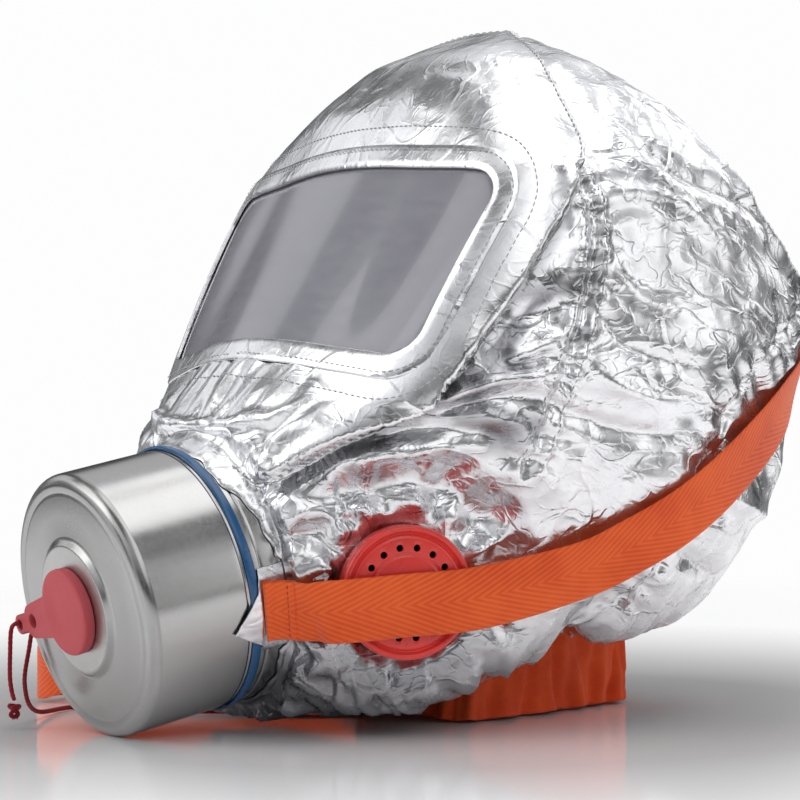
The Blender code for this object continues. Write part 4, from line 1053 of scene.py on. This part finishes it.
def window_gap(x, y, grow=0.0):
    """How far outside the window's rounded outline, and the way out of it."""
    x = x / window_taper(y)
    corner = WINDOW_CORNER + grow
    px = np.abs(x) - (WINDOW_HALF[0] + grow - corner)
    py = np.abs(y) - (WINDOW_HALF[1] + grow - corner)
    ox, oy = np.maximum(px, 0), np.maximum(py, 0)
    length = np.hypot(ox, oy)
    gap = length + np.minimum(np.maximum(px, py), 0) - corner
    gx = np.where(length > 1e-9, ox / np.maximum(length, 1e-9), (px > py) * 1.0)
    gy = np.where(length > 1e-9, oy / np.maximum(length, 1e-9), (px <= py) * 1.0)
    return gap, gx * np.sign(x), gy * np.sign(y)


def crumple_hood(u, v, base, out):
    """How far each point of the hood stands off its smooth surface, how crinkled it is there, and how much
    painted shade it gets.
    """
    panel = inside_panel(u, v)
    seam = np.full(len(base), 1e9)
    for uv in both_sides(FRONT_SEAM):
        seam = np.minimum(seam, line_distance(base, surface_line(uv))[0])
    wx, wy, wz = window_place(base)
    window = np.where(wz > -0.075, window_gap(wx, wy)[0], 1.0)
    window = np.where((np.abs(wx) < 0.125) & (base[:, 1] < 0.02), window, 1.0)
    can_r, can_a, can_z = polar(base, CANISTER)
    near_can = np.where((can_z < -0.045) & (can_z > -0.095), can_r, 1.0)
    strap = smooth_line([p for p, _ in strap_left_stations()] + [p for p, _ in buckle_stations(1)], 4)
    strap_gap = line_distance(base, strap)[0]
    buckle_gap = np.linalg.norm(base - np.array(BUCKLE), axis=1)

    # how crinkled the cloth is: calm on the front panel and round the window
    loose = np.where(panel, 0.20 + 0.35 * eased(seam, 0.02, 0.0) * (window > 0.02), 1.0)
    loose = np.where(panel & (v > 7.0), np.maximum(loose, 0.42 * eased(v, 7.1, 8.2)), loose)
    loose = np.where(panel & (v < 5.7), np.maximum(loose, 0.34 * eased(v, 5.7, 5.3)), loose)
    loose = loose * eased(window, 0.002, 0.016)
    crinkle = np.clip(0.10 + loose, 0, 1)

    # painted shade: a dark strip just outside the front seam, and the insides of the deepest folds, which
    # mirror only other folds and look dark
    broken = eased(facets(base, 0.0085, 7, (1, 0.6, 1)) + 0.6 * facets(base, 0.021, 8), -0.25, 0.30)
    shade = np.where(panel, 0, 0.75 * ridge(seam, 0.0065, 0.8)) * eased(v, 7.4, 6.6) * eased(v, 4.6, 5.0)
    for uv, width, dark in POCKETS:
        for one in both_sides(uv):
            gap, _ = line_distance(base, surface_line(one))
            shade = np.maximum(shade, dark * ridge(gap, width, 0.7) * broken * (1 - panel))

    warped = base + 0.004 * np.stack([
        soft_noise(base, 0.05, 11), soft_noise(base, 0.05, 12), soft_noise(base, 0.05, 13)], 1)
    patchy = 0.55 + 0.45 * eased(soft_noise(base, 0.09, 14), -0.5, 0.6)
    rise = (
        0.0052 * facets(warped, 0.052, 1, (1, 0.7, 1))
        + 0.0030 * facets(warped, 0.027, 2, (1, 1, 0.5)) * patchy
        + 0.0013 * facets(warped, 0.0135, 3, (1, 0.45, 1)) * patchy
        + 0.0006 * facets(base, 0.0075, 4, (0.5, 1, 1)) * patchy
    ) * loose * (0.35 + 0.65 * eased(v, 1.2, 3.0))

    # folds and tucks
    for uv, width, height in FOLDS:
        lines = both_sides(uv) if uv[0][0] > 0 and uv[-1][0] > 0 and min(p[0] for p in uv) > 0.75 else [uv]
        for n, one in enumerate(lines):
            gap, place = line_distance(base, surface_line(one))
            far = place.max()
            taper = eased(place, -0.002, 0.012) * eased(far - place, -0.002, 0.012)
            rise = rise + (height if n == 0 else 0.8 * height) * ridge(gap, width) * (0.35 + 0.65 * taper)

    # the front panel's edge stands over the side panel
    low_side = eased(v, 7.2, 6.2)
    step = np.where(panel, (0.0012 + 0.0016 * low_side) * ridge(seam, 0.018, 1.0),
        -(0.0026 + 0.0034 * low_side) * ridge(seam, 0.013, 1.1))
    rise = rise + step * eased(v, 4.4, 4.7)

    # gathers along the side seams
    for uv in both_sides(SIDE_SEAM):
        gap, place = line_distance(base, surface_line(uv))
        pleat = zigzag(place / 0.0105 + 0.35 * soft_noise(base, 0.03, 21))
        rise = (rise + 0.0016 * pleat * ridge(gap, 0.026, 1.3) - 0.0026 * ridge(gap, 0.0032, 1.0)
                + 0.0016 * ridge(np.abs(gap - 0.0048), 0.003, 1))
    for uv in both_sides(REAR_SEAM) + [BACK_SEAM]:
        gap, place = line_distance(base, surface_line(uv))
        pleat = zigzag(place / 0.013 + 0.4 * soft_noise(base, 0.04, 22))
        rise = rise + 0.0016 * pleat * ridge(gap, 0.024, 1.3) - 0.0022 * ridge(gap, 0.0035, 1.0)

    # gathers where the cloth is drawn in round the canister
    pleat = (zigzag(can_a * 17 / (2 * math.pi) + 0.45 * soft_noise(base, 0.05, 23))
             + 0.5 * zigzag(can_a * 41 / (2 * math.pi) + 0.3 * soft_noise(base, 0.03, 24)))
    calm_top = 1 - 0.6 * eased(np.sin(can_a), 0.5, 0.9)
    rise = rise + 0.0026 * pleat * calm_top * eased(near_can, 0.057, 0.066) * eased(near_can, 0.105, 0.070)

    # a soft roll stands up round each valve cover
    for matrix in VALVES.values():
        r, a, z = polar(base, matrix)
        r = np.where(np.abs(z + HOOD_BEHIND_COVER) < 0.03, r, 1.0)
        pleat = zigzag(a * 13 / (2 * math.pi) + 0.5 * soft_noise(base, 0.04, 25))
        rise = rise * eased(r, 0.027, 0.034)
        rise = rise + 0.0040 * np.exp(-(((r - 0.0355) / 0.0055) ** 2)) * (1 + 0.35 * pleat)
        rise = rise + 0.0022 * pleat * eased(r, 0.030, 0.036) * eased(r, 0.066, 0.040)

    # pleats and tucks of the skirt, and the tuck that shows the collar
    girth = u * 0.068
    pleat = (zigzag(girth / 0.021 + 0.5 * soft_noise(base, 0.06, 26))
             + 0.5 * zigzag(girth / 0.009 + 0.4 * soft_noise(base, 0.03, 27)))
    rise = rise + 0.0015 * pleat * eased(v, 3.1, 1.6) * eased(v, 0.0, 0.6)
    for uv in both_sides(NOTCH):
        gap, _ = line_distance(base, surface_line(uv))
        rise = rise - 0.0130 * ridge(gap, 0.019, 1.15) * eased(v, 3.4, 2.5)

    # nothing stands into the strap, the canister or the window's edge
    rise = np.where(strap_gap < 0.020, np.minimum(rise, 0.0008 + 0.006 * eased(strap_gap, 0.0125, 0.020)),
        rise)
    rise = np.where(buckle_gap < 0.030, np.minimum(rise, 0.0012 + 0.006 * eased(buckle_gap, 0.020, 0.030)),
        rise)
    rise = rise * eased(window, 0.0005, 0.006) * eased(near_can, 0.0575, 0.0615)
    low = (base[:, 2] + out[:, 2] * rise < 0.0035) & (out[:, 2] < 0)
    rise = np.where((out[:, 2] < 0) & (v < 3), np.minimum(rise, 0.0022), rise)
    rise = np.where(low, np.minimum(rise, 0.0), rise)
    return np.clip(rise, -0.012, 0.0075), crinkle, shade


NU, NV = 480, 208


def make_hood():
    i = np.arange(NU) * 12 / NU
    j = np.linspace(0, 1, NV)
    j = 10 * (0.985 * j + 0.015 * j * j) * 0.997
    v, u = (a.ravel() for a in np.meshgrid(j, i, indexing="ij"))
    base = hood_at(u, v)
    grid = base.reshape(NV, NU, 3)
    along = np.roll(grid, -1, 1) - np.roll(grid, 1, 1)
    up = np.gradient(grid, axis=0)
    out = unit(np.cross(along, up)).reshape(-1, 3)
    smooth_faces = ring_faces(NV, NU)
    smooth = BVHTree.FromPolygons(base.tolist(), smooth_faces.tolist())

    rise, crinkle, shade = crumple_hood(u, v, base, out)
    points = base + out * rise[:, None]

    # openings, each with its cut edge moved onto its outline
    faces = smooth_faces
    middle = base[faces].mean(1)
    wx, wy, wz = window_place(middle)
    cut = (window_gap(wx, wy)[0] < 0) & (np.abs(wz) < 0.06) & (middle[:, 1] < 0.03)
    window_cut = cut.copy()
    can_r, _, can_z = polar(middle, CANISTER)
    can_cut = (can_r < CAN_OPENING) & (can_z < -0.045) & (can_z > -0.085) & (middle[:, 1] < -0.06)
    valve_cuts = []
    for matrix in VALVES.values():
        r, _, z = polar(middle, matrix)
        valve_cuts.append((r < VALVE_OPENING) & (np.abs(z + HOOD_BEHIND_COVER) < 0.02))
    gone = window_cut | can_cut | valve_cuts[0] | valve_cuts[1]
    kept = faces[~gone]

    def edge_of(removed):
        return np.intersect1d(np.unique(faces[removed]), np.unique(kept))

    edge = edge_of(window_cut)
    wx, wy, wz = window_place(points[edge])
    gap, gx, gy = window_gap(wx, wy)
    points[edge] -= (gap * gx)[:, None] * np.array((1, 0, 0)) + (gap * gy)[:, None] * np.array(WINDOW_UP)
    radii = (VALVE_OPENING, VALVE_OPENING, CAN_OPENING)
    for cut, matrix, radius in zip(valve_cuts + [can_cut], [*VALVES.values(), CANISTER], radii):
        edge = edge_of(cut)
        r, a, z = polar(points[edge], matrix)
        points[edge] = placed(np.stack([radius * np.cos(a), radius * np.sin(a), z], 1), matrix)

    # a cuff runs from the canister opening's edge forward along the canister's side
    edge = edge_of(can_cut)
    _, a, z = polar(points[edge], CANISTER)
    order = np.argsort(a)
    edge, a, z = edge[order], a[order], z[order]
    front = 0.0600 - 0.0092 * eased(np.sin(a), 0.30, 0.85)
    front = front + 0.0008 * np.sin(13 * a) + 0.0005 * np.sin(29 * a + 1)
    away = np.minimum(np.abs(a - STRAP_END_ANGLE), np.abs(np.abs(a) - (math.pi + STRAP_END_ANGLE))
        + 10 * (a > 0))
    front = np.where(away < 0.34, np.maximum(front, 0.0626), front)
    rings = []
    stages = ((0.0577, 0.06), (0.0566, 0.20), (0.0560, 0.36), (0.0557, 0.52), (0.0556, 0.68), (0.0553, 0.84),
        (0.0549, 0.95), (0.0544, 1.0))
    for n, (radius, share) in enumerate(stages):
        ripple = (0.0006 * np.clip(zigzag(a * 23 / (2 * math.pi) + 0.3 * np.sin(3 * a)), -0.3, 1)
                  + 0.0003 * np.sin(47 * a + n)) * math.sin(math.pi * min(1, 0.15 + share * 0.8))
        lift = np.where(away < 0.34, 0, np.maximum(ripple, 0))
        depth = (1 - share) * (-z) + share * front
        rings.append(
            placed(np.stack([(radius + lift) * np.cos(a), (radius + lift) * np.sin(a), -depth], 1), CANISTER))
    first = len(points)
    count = len(edge)
    points = np.concatenate([points] + rings)
    cuff = [[edge[k], edge[(k + 1) % count], first + (k + 1) % count, first + k] for k in range(count)]
    cuff += ring_faces(len(stages), count, start=first).tolist()
    crinkle = np.concatenate([crinkle, np.full(len(stages) * count, 0.6)])
    shade = np.concatenate([shade, np.zeros(len(stages) * count + 1)])

    # the crown closes on one point
    crown = len(points)
    points = np.concatenate([points, hood_at(0, 10.0) + np.array([(0, 0, -0.0006)])])
    crinkle = np.append(crinkle, 0.4)
    last = (NV - 1) * NU
    top = [(last + k, last + (k + 1) % NU, crown) for k in range(NU)]

    used = np.unique(np.concatenate([kept.ravel(), np.ravel(cuff), np.ravel(top)]))
    renumber = np.full(len(points), -1)
    renumber[used] = np.arange(len(used))
    all_faces = ([tuple(f) for f in renumber[kept]] + [tuple(renumber[list(f)]) for f in cuff]
                 + [tuple(renumber[list(f)]) for f in top])
    hood = piece("hood_foil", points[used], all_faces, FOIL_FINISH)
    # painted shade on the foil: darker towards the bottom and low on the front, and darkest where
    # crumple_hood paints shade along the front seam and in the fold pockets
    height = points[used, 2] + 0.012 * soft_noise(points[used], 0.07, 41)
    painted_shade = (0.70 * eased(height, 0.062, 0.016)
            + 0.25 * eased(-points[used, 1], 0.02, 0.09) * eased(height, 0.13, 0.05))
    painted_shade = np.clip(np.maximum(painted_shade, 1.25 * shade[used]), 0, 1)
    for label, values in (("crinkle", crinkle[used]), ("painted_shade", painted_shade)):
        attribute = hood.data.attributes.new(label, "FLOAT", "POINT")
        attribute.data.foreach_set("value", values.astype(np.float32))
    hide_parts("hood_shell")
    made = BVHTree.FromPolygons(points[used].tolist(), all_faces)
    return hood, smooth, made


HOOD, SMOOTH, MADE = make_hood()


def nearest(tree, points):
    """Nearest places on a surface, and the way out there."""
    found = [tree.find_nearest(Vector(p)) for p in points]
    return np.array([f[0] for f in found]), np.array([f[1] for f in found])


def offset_line(tree, line, distance, closed=False):
    """The line moved sideways along the surface, to its right as seen from outside."""
    places, outs = nearest(tree, line)
    ahead = (np.roll(places, -1, 0) - np.roll(places, 1, 0)) if closed else np.gradient(places, axis=0)
    side = unit(np.cross(unit(ahead), outs))
    return nearest(tree, places + side * distance)[0]


def stitched(name, lines, lift=0.00012):
    """Rows of stitches that lie on the finished surface."""
    points, faces = [], []
    for line in lines:
        line, _ = resampled(line, STITCH_GRID)
        for s in range(0, len(line) - STITCH_REACH, STITCH_STEP):
            ends = np.array([line[s], line[s + STITCH_REACH // 2], line[s + STITCH_REACH]])
            places, outs = nearest(MADE, ends)
            ahead = unit(places[-1] - places[0])
            base = len(points)
            for place, out, size, up in zip(places, outs, (0.45, 1.0, 0.45), (0.2, 1.0, 0.2)):
                side = unit(np.cross(ahead, out))
                for k in range(6):
                    a = k * math.pi / 3
                    high = lift + STITCH_THICK * (0.6 * up + 0.7 * size * math.sin(a))
                    points.append(place + out * high + side * STITCH_THICK * size * math.cos(a))
            faces += tube_faces(3, 6, base)
    return piece(name, points, faces, THREAD_GREY)


def window_outline():
    """The window's outline on the hood, from straight in front of it."""
    (hx, hy), c = WINDOW_HALF, WINDOW_CORNER
    flat = []
    for quarter, (sx, sy) in enumerate(((1, 1), (-1, 1), (-1, -1), (1, -1))):
        for a in np.linspace(0, math.pi / 2, 10):
            angle = math.pi / 2 * quarter + a
            flat.append((sx * (hx - c) + c * math.cos(angle), sy * (hy - c) + c * math.sin(angle), 0))
    flat.append(flat[0])
    flat, _ = resampled(np.array(flat), 0.0018)
    found = []
    for x, y, _ in flat[:-1]:
        origin = WINDOW_CENTRE + Vector((x * window_taper(y), 0, 0)) + WINDOW_UP * y + WINDOW_OUT * 0.12
        hit = SMOOTH.ray_cast(origin, -WINDOW_OUT)
        found.append(hit[0])
    return np.array([tuple(p) for p in found])


def make_window_parts():
    # film, under the edge of the opening
    xs, ys = np.linspace(-0.1088, 0.1088, 156), np.linspace(-0.0480, 0.0480, 60)
    points, index = [], {}
    for a, x in enumerate(xs):
        for b, y in enumerate(ys):
            if window_gap(np.array([x]), np.array([y]), 0.0055)[0][0] > 0:
                continue
            origin = WINDOW_CENTRE + Vector((x, 0, 0)) + WINDOW_UP * y + WINDOW_OUT * 0.12
            place, out, _, _ = SMOOTH.ray_cast(origin, -WINDOW_OUT)
            if place is None:
                continue
            index[a, b] = len(points)
            points.append(place - out * 0.0015)
    faces = [
        (index[a, b], index[a + 1, b], index[a + 1, b + 1], index[a, b + 1])
        for a, b in index
        if (a + 1, b) in index and (a, b + 1) in index and (a + 1, b + 1) in index
    ]
    film = piece("window_sheet", [tuple(p) for p in points], faces, FILM)
    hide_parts("window_film")

    # a narrow band of the hood's cloth is sewn round the opening
    edge = window_outline()
    rows = []
    for across, lift in ((-0.0002, -0.0006), (-0.0004, 0.0004), (0.0004, 0.0010), (0.0030, 0.0010),
        (0.0070, 0.0009),
        (0.0098, 0.0008), (0.0104, 0.0004), (0.0105, -0.0001)):
        line = offset_line(SMOOTH, edge, across, True)
        rows.append(line + nearest(SMOOTH, line)[1] * lift)
    band = piece("window_band", np.concatenate(rows), ring_faces(len(rows), len(edge)), FOIL_PLAIN,
        sharp=40)
    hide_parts("window_surround")
    inner = offset_line(SMOOTH, edge, 0.0078, True)
    outer = offset_line(SMOOTH, edge, 0.0190, True)
    return band, [np.concatenate([inner, inner[:1]])], [np.concatenate([outer, outer[:1]])]


BAND, INNER_ROW, OUTER_ROW = make_window_parts()


def make_seams():
    rows = list(OUTER_ROW)
    for uv in both_sides(FRONT_SEAM):
        line = surface_line(uv)
        inward = -0.0026 if uv[0][0] < 6 else 0.0026
        rows.append(offset_line(SMOOTH, line, inward))
    for uv in both_sides(SIDE_SEAM):
        line = surface_line(uv)
        rows += [offset_line(SMOOTH, line, 0.0048), offset_line(SMOOTH, line, -0.0048)]
    for uv in both_sides(REAR_SEAM) + [BACK_SEAM]:
        rows.append(offset_line(SMOOTH, surface_line(uv), 0.0045))
    hood_thread = stitched("hood_stitching", rows)
    band_thread = stitched("window_stitching", INNER_ROW, lift=0.0011)
    return hood_thread, band_thread


THREADS = make_seams()


# ---------------------------------------------------------------- collar

def make_collar():
    rings = np.array([closed_ring(row) for row in COLLAR_ROWS])
    around, rows = 360, 64
    u = np.arange(around) * 12 / around
    at = on_rings(rings, u)
    lines = []
    for row in range(rows + 1):
        t = (len(rings) - 1) * row / rows
        i = min(int(t), len(rings) - 2)
        below = at[i - 1] if i > 0 else 2 * at[0] - at[1]
        above = at[i + 2] if i + 2 < len(rings) else 2 * at[-1] - at[-2]
        lines.append(cut_spline(below, at[i], at[i + 1], above, t - i))
    grid = np.array(lines)
    along = np.roll(grid, -1, 1) - np.roll(grid, 1, 1)
    down = np.gradient(grid, axis=0)
    out = unit(np.cross(along, -down))
    share = np.linspace(0, 1, rows + 1)[:, None]
    girth = u * 0.0255
    flat = grid.reshape(-1, 3)
    bend = soft_noise(flat, 0.05, 31).reshape(rows + 1, around)
    fold = (np.sin(2 * math.pi * (girth[None, :] / 0.0155 + 0.55 * bend))
            + 0.45 * np.sin(2 * math.pi * (girth[None, :] / 0.0068 + 0.5 * bend)))
    crush = facets(flat, 0.014, 6).reshape(rows + 1, around)
    slow = soft_noise(flat, 0.11, 32).reshape(rows + 1, around)
    rise = 0.0019 * fold * (0.45 + 0.55 * share) + 0.0030 * slow * share + 0.0014 * crush
    hem = np.exp(-(((share - 0.955) / 0.022) ** 2)) * 0.0006
    grid = grid + out * (rise + hem)[..., None]
    grid[..., 2] = np.maximum(grid[..., 2], 0.0011 + 0.0009 * share * (1 + fold) * 0.5)
    lengths = np.concatenate([np.zeros((1, around)),
        np.cumsum(np.linalg.norm(np.diff(grid, axis=0), axis=2), 0)])
    uv = np.stack([np.broadcast_to(girth, (rows + 1, around)), lengths], -1).reshape(-1, 2)
    cloth = piece("neck_collar_cloth", grid.reshape(-1, 3), ring_faces(rows + 1, around, flip=True),
        COLLAR_CLOTH, uv=uv)
    thickened(cloth, 0.0007, 0)
    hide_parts("neck_collar")


make_collar()


# ---------------------------------------------------------------- straps

def woven_band(name, run, x, top, bottom):
    """A band of webbing along a run, from its upper and lower surfaces' heights."""
    middles, outs, across, at = run
    over = middles[:, None] + across[:, None] * x[None, :, None] + outs[:, None] * top[..., None]
    under = middles[:, None] + across[:, None] * x[None, ::-1, None] + outs[:, None] * bottom[:, ::-1, None]
    points = np.concatenate([over, under], 1)
    uv = np.stack(np.broadcast_arrays(x[None, :], at[:, None]), -1)
    uv = np.concatenate([uv, uv[:, ::-1]], 1).reshape(-1, 2)
    faces = tube_faces(len(at), 2 * len(x))
    return piece(name, points.reshape(-1, 3), faces, WEBBING, uv=uv)


def webbing(name, stations, per_span=26):
    """A woven band along stations, with its chevron ribs as real relief and rounded edges."""
    middles = smooth_line([p for p, _ in stations], per_span)
    outs = smooth_line([n for _, n in stations], per_span)
    lengths = np.concatenate([[0], np.cumsum(np.linalg.norm(np.diff(middles, axis=0), axis=1))])
    count = int(lengths[-1] / 0.0006) + 1
    at = np.linspace(0, lengths[-1], count)
    middles = np.stack([np.interp(at, lengths, middles[:, k]) for k in range(3)], 1)
    outs = np.stack([np.interp(at, lengths, outs[:, k]) for k in range(3)], 1)
    ahead = unit(np.gradient(middles, axis=0))
    outs = unit(outs - ahead * (outs * ahead).sum(1, keepdims=True))
    across = np.cross(outs, ahead)
    columns = 40
    s = np.linspace(-1, 1, columns)
    edge = np.sqrt(np.clip(1 - np.abs(s) ** 14, 0, 1))
    x = s * STRAP_WIDTH / 2
    rib = np.sin(2 * math.pi * (np.abs(x)[None, :] / RIB_ACROSS - at[:, None] / RIB_ALONG))
    fine = np.sin(2 * math.pi * at[:, None] / 0.0013 + math.pi * np.round(np.abs(x)[None, :] / 0.001))
    relief = 0.00011 * rib + 0.00004 * fine
    top = (STRAP_THICK / 2 - 0.00012 + relief) * edge
    run = middles, outs, across, at
    return woven_band(name, run, x, top, -top), *run


def folded_end(name, strap, length):
    """The strap's end, folded back on itself and sewn down."""
    middles, outs, across, run = (part[:int(np.searchsorted(strap[4], length))] for part in strap[1:])
    columns = 34
    s = np.linspace(-1, 1, columns)
    edge = np.sqrt(np.clip(1 - np.abs(s) ** 12, 0, 1))
    x = s * (STRAP_WIDTH / 2 - 0.0004)
    near = np.sqrt(np.clip(1 - (1 - np.minimum(run / 0.0012, 1)) ** 2, 0.02, 1))
    near = near * np.sqrt(np.clip(1 - (1 - np.minimum((run[-1] - run) / 0.0006, 1)) ** 2, 0.05, 1))
    rib = np.sin(2 * math.pi * (np.abs(x)[None, :] / RIB_ACROSS + run[:, None] / RIB_ALONG))
    thick = 0.0011
    stitch = 1 - 0.35 * np.exp(-(((run[:, None] - length * 0.72) / 0.0008) ** 2))
    top = (thick + 0.0001 * rib) * edge * near[:, None] * stitch
    base = STRAP_THICK / 2 - 0.0002
    return woven_band(name, (middles, outs, across, run), x, base + top, np.full(top.shape, base))


def strap_stitches(name, strap, rows, lift):
    """Dark thread across a strap, at these distances along it."""
    _, middles, outs, across, at = strap
    points, faces = [], []
    for where in rows:
        n = int(np.searchsorted(at, where))
        for k in range(9):
            x = (k - 4) * 0.0025
            centre = middles[n] + across[n] * x + outs[n] * lift
            base = len(points)
            for along, size in ((-0.0009, 0.4), (0, 1.0), (0.0009, 0.4)):
                for m in range(6):
                    a = m * math.pi / 3
                    ahead = np.cross(across[n], outs[n])
                    points.append(centre + across[n] * along + ahead * 0.00026 * size * math.cos(a)
                                  + outs[n] * 0.00024 * size * math.sin(a))
            faces += tube_faces(3, 6, base)
    return piece(name, points, faces, THREAD_RED)


def anchor(name, sign):
    """Patch of hood cloth under the strap's end, with its corner drawn forward over the sealing band."""
    columns, rows = 60, 44
    angles = np.radians(np.linspace(-30, 6, columns))
    spread = np.degrees(angles)
    front = np.interp(spread, (-30, -27, -19, -4, 2, 6), (0.0508, 0.0500, 0.0372, 0.0488, 0.0500, 0.0508))
    share = np.linspace(0, 1, rows)[:, None]
    depth = front * (1 - share) + 0.0622 * share
    radius = 0.0549 + 0.00075 * eased(depth, 0.0508, 0.0501) - 0.0006 * eased(depth, 0.0445, 0.0400)
    radius = radius + 0.00008 * np.sin(spread * 1.3) * (1 - share)
    local = np.stack([sign * radius * np.cos(angles), radius * np.sin(angles), -depth], -1).reshape(-1, 3)
    obj = piece(name, placed(local, CANISTER), ring_faces(rows, columns, closed=False, flip=sign < 0),
        FOIL_PLAIN)
    thickened(obj, 0.00026, -1)
    return obj


def make_straps():
    near = strap_left_stations() + buckle_stations(1)
    left = webbing("strap_left_web", near)
    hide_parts("strap_left")
    far = strap_end_stations(-1) + [(Vector(p), Vector(n)) for p, n in SLACK_STRAP] + buckle_stations(-1)
    right = webbing("strap_right_web", far)
    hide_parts("strap_right")
    for side, strap in (("left", left), ("right", right)):
        folded_end("strap_fold_" + side, strap, 0.0135)
        strap_stitches("strap_stitch_" + side, strap, (0.0098,), STRAP_THICK / 2 + 0.00062)
        length = strap[4][-1]
        strap_stitches("strap_buckle_stitch_" + side, strap, (length - 0.034, length - 0.031),
            STRAP_THICK / 2 + 0.00005)
        tab = anchor("strap_anchor_patch_" + side, 1 if side == "left" else -1)
        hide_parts("strap_anchor_" + side)


make_straps()


# ---------------------------------------------------------------- the CAD nodes that stay

SLOT_OF = {row["node"]: row["material_slot"] for row in frame["record"]["subparts"]}
for name, obj in NODES.items():
    obj.data.materials.clear()
    obj.data.materials.append(SLOT_FINISH[SLOT_OF[name]])
    if name in ("strap_buckle", "outlet_plug"):
        bevelled(obj, 0.0005, 50)


# ---------------------------------------------------------------- stage and light

def make_stage():
    """A pale round table top that fades out, so that it meets the background without a line."""
    f = Finish("floor_pale", (0.94, 0.94, 0.945), 0.0, 0.20, Specular_IOR_Level=0.5)
    away = f.node("ShaderNodeVectorMath", operation="LENGTH")
    f.put(f.where, away.inputs[0])
    f.put(f.spread(away.outputs["Value"], 0.30, 1.05, 1.0, 0.0), f.shader.inputs["Alpha"])
    f.shader.inputs["Emission Color"].default_value = (1, 1, 1, 1)
    f.put(f.spread(away.outputs["Value"], 0.20, 0.55, 0.0, 0.62), f.shader.inputs["Emission Strength"])
    f.finish(None, f.spread(f.noise(3, 2, 0.5), 0.3, 0.7, 0.07, 0.11))
    around = [(2.0 * math.cos(a), 2.0 * math.sin(a), 0)
        for a in np.linspace(0, 2 * math.pi, 96, endpoint=False)]
    mesh = bpy.data.meshes.new("floor")
    mesh.from_pydata(around, [], [tuple(range(96))])
    mesh.materials.append(f.material)
    floor = bpy.data.objects.new("floor", mesh)
    bpy.context.scene.collection.objects.link(floor)


def area_light(name, place, aim, size, power):
    data = bpy.data.lights.new(name, "AREA")
    data.shape = "RECTANGLE"
    data.size, data.size_y = size
    data.energy = power
    light = bpy.data.objects.new(name, data)
    light.location = place
    light.rotation_euler = (Vector(aim) - Vector(place)).to_track_quat("-Z", "Y").to_euler()
    bpy.context.scene.collection.objects.link(light)


def make_light():
    """A studio, bright overhead and to the front, that falls to grey at eye level between darker panels."""
    world = bpy.data.worlds.new("studio")
    bpy.context.scene.world = world
    world.use_nodes = True
    tree = world.node_tree
    tree.nodes.clear()

    def node(kind, **settings):
        made = tree.nodes.new(kind)
        for key, value in settings.items():
            setattr(made, key, value)
        return made

    def spread(value, low, high, to_low, to_high):
        made = node("ShaderNodeMapRange", interpolation_type="SMOOTHSTEP")
        tree.links.new(value, made.inputs["Value"])
        for socket, setting in zip(("From Min", "From Max", "To Min", "To Max"),
            (low, high, to_low, to_high)):
            made.inputs[socket].default_value = setting
        return made.outputs["Result"]

    def combine(operation, a, b):
        made = node("ShaderNodeMath", operation=operation)
        for value, socket in ((a, made.inputs[0]), (b, made.inputs[1])):
            if hasattr(value, "links"):
                tree.links.new(value, socket)
            else:
                socket.default_value = value
        return made.outputs[0]

    where = node("ShaderNodeTexCoord").outputs["Generated"]

    def towards(way):
        made = node("ShaderNodeVectorMath", operation="DOT_PRODUCT")
        tree.links.new(where, made.inputs[0])
        made.inputs[1].default_value = Vector(way).normalized()
        return made.outputs["Value"]

    height = spread(towards((0, 0, 1)), -0.05, 0.75, 0.16, 0.70)
    front = spread(towards((-0.55, -0.75, 0.35)), 0.25, 0.95, 0.0, 0.60)
    noise = node("ShaderNodeTexNoise")
    noise.inputs["Scale"].default_value = 2.1
    noise.inputs["Detail"].default_value = 1.5
    moved = node("ShaderNodeVectorMath", operation="ADD")
    tree.links.new(where, moved.inputs[0])
    moved.inputs[1].default_value = (4.1, 0.7, 3.2)
    tree.links.new(moved.outputs[0], noise.inputs["Vector"])
    panels = spread(noise.outputs["Fac"], 0.42, 0.50, 0.16, 1.0)
    amount = combine("MULTIPLY", combine("ADD", height, front), panels)

    out = node("ShaderNodeOutputWorld")
    room = node("ShaderNodeBackground")
    plain = node("ShaderNodeBackground")
    mix = node("ShaderNodeMixShader")
    path = node("ShaderNodeLightPath")
    room.inputs["Color"].default_value = (0.97, 0.98, 1.0, 1)
    tree.links.new(amount, room.inputs["Strength"])
    plain.inputs["Color"].default_value = (0.985, 0.985, 0.99, 1)
    plain.inputs["Strength"].default_value = 1.0
    tree.links.new(path.outputs["Is Camera Ray"], mix.inputs["Fac"])
    tree.links.new(room.outputs[0], mix.inputs[1])
    tree.links.new(plain.outputs[0], mix.inputs[2])
    tree.links.new(mix.outputs[0], out.inputs["Surface"])
    area_light("key", (-0.7, -1.5, 1.3), (0, 0, 0.14), (1.3, 1.3), 9)
    area_light("top", (0.2, 0.1, 1.9), (0, 0, 0.1), (1.7, 1.7), 12)
    area_light("side", (1.5, -0.3, 1.1), (0, 0, 0.12), (0.9, 1.3), 3)
    area_light("back", (-0.4, 1.6, 1.0), (0, 0, 0.15), (1.2, 1.2), 5)
    area_light("right", (1.5, 1.3, 0.55), (0, 0, 0.15), (1.3, 1.0), 4)


make_stage()
make_light()
bpy.context.scene.view_settings.view_transform = "Standard"
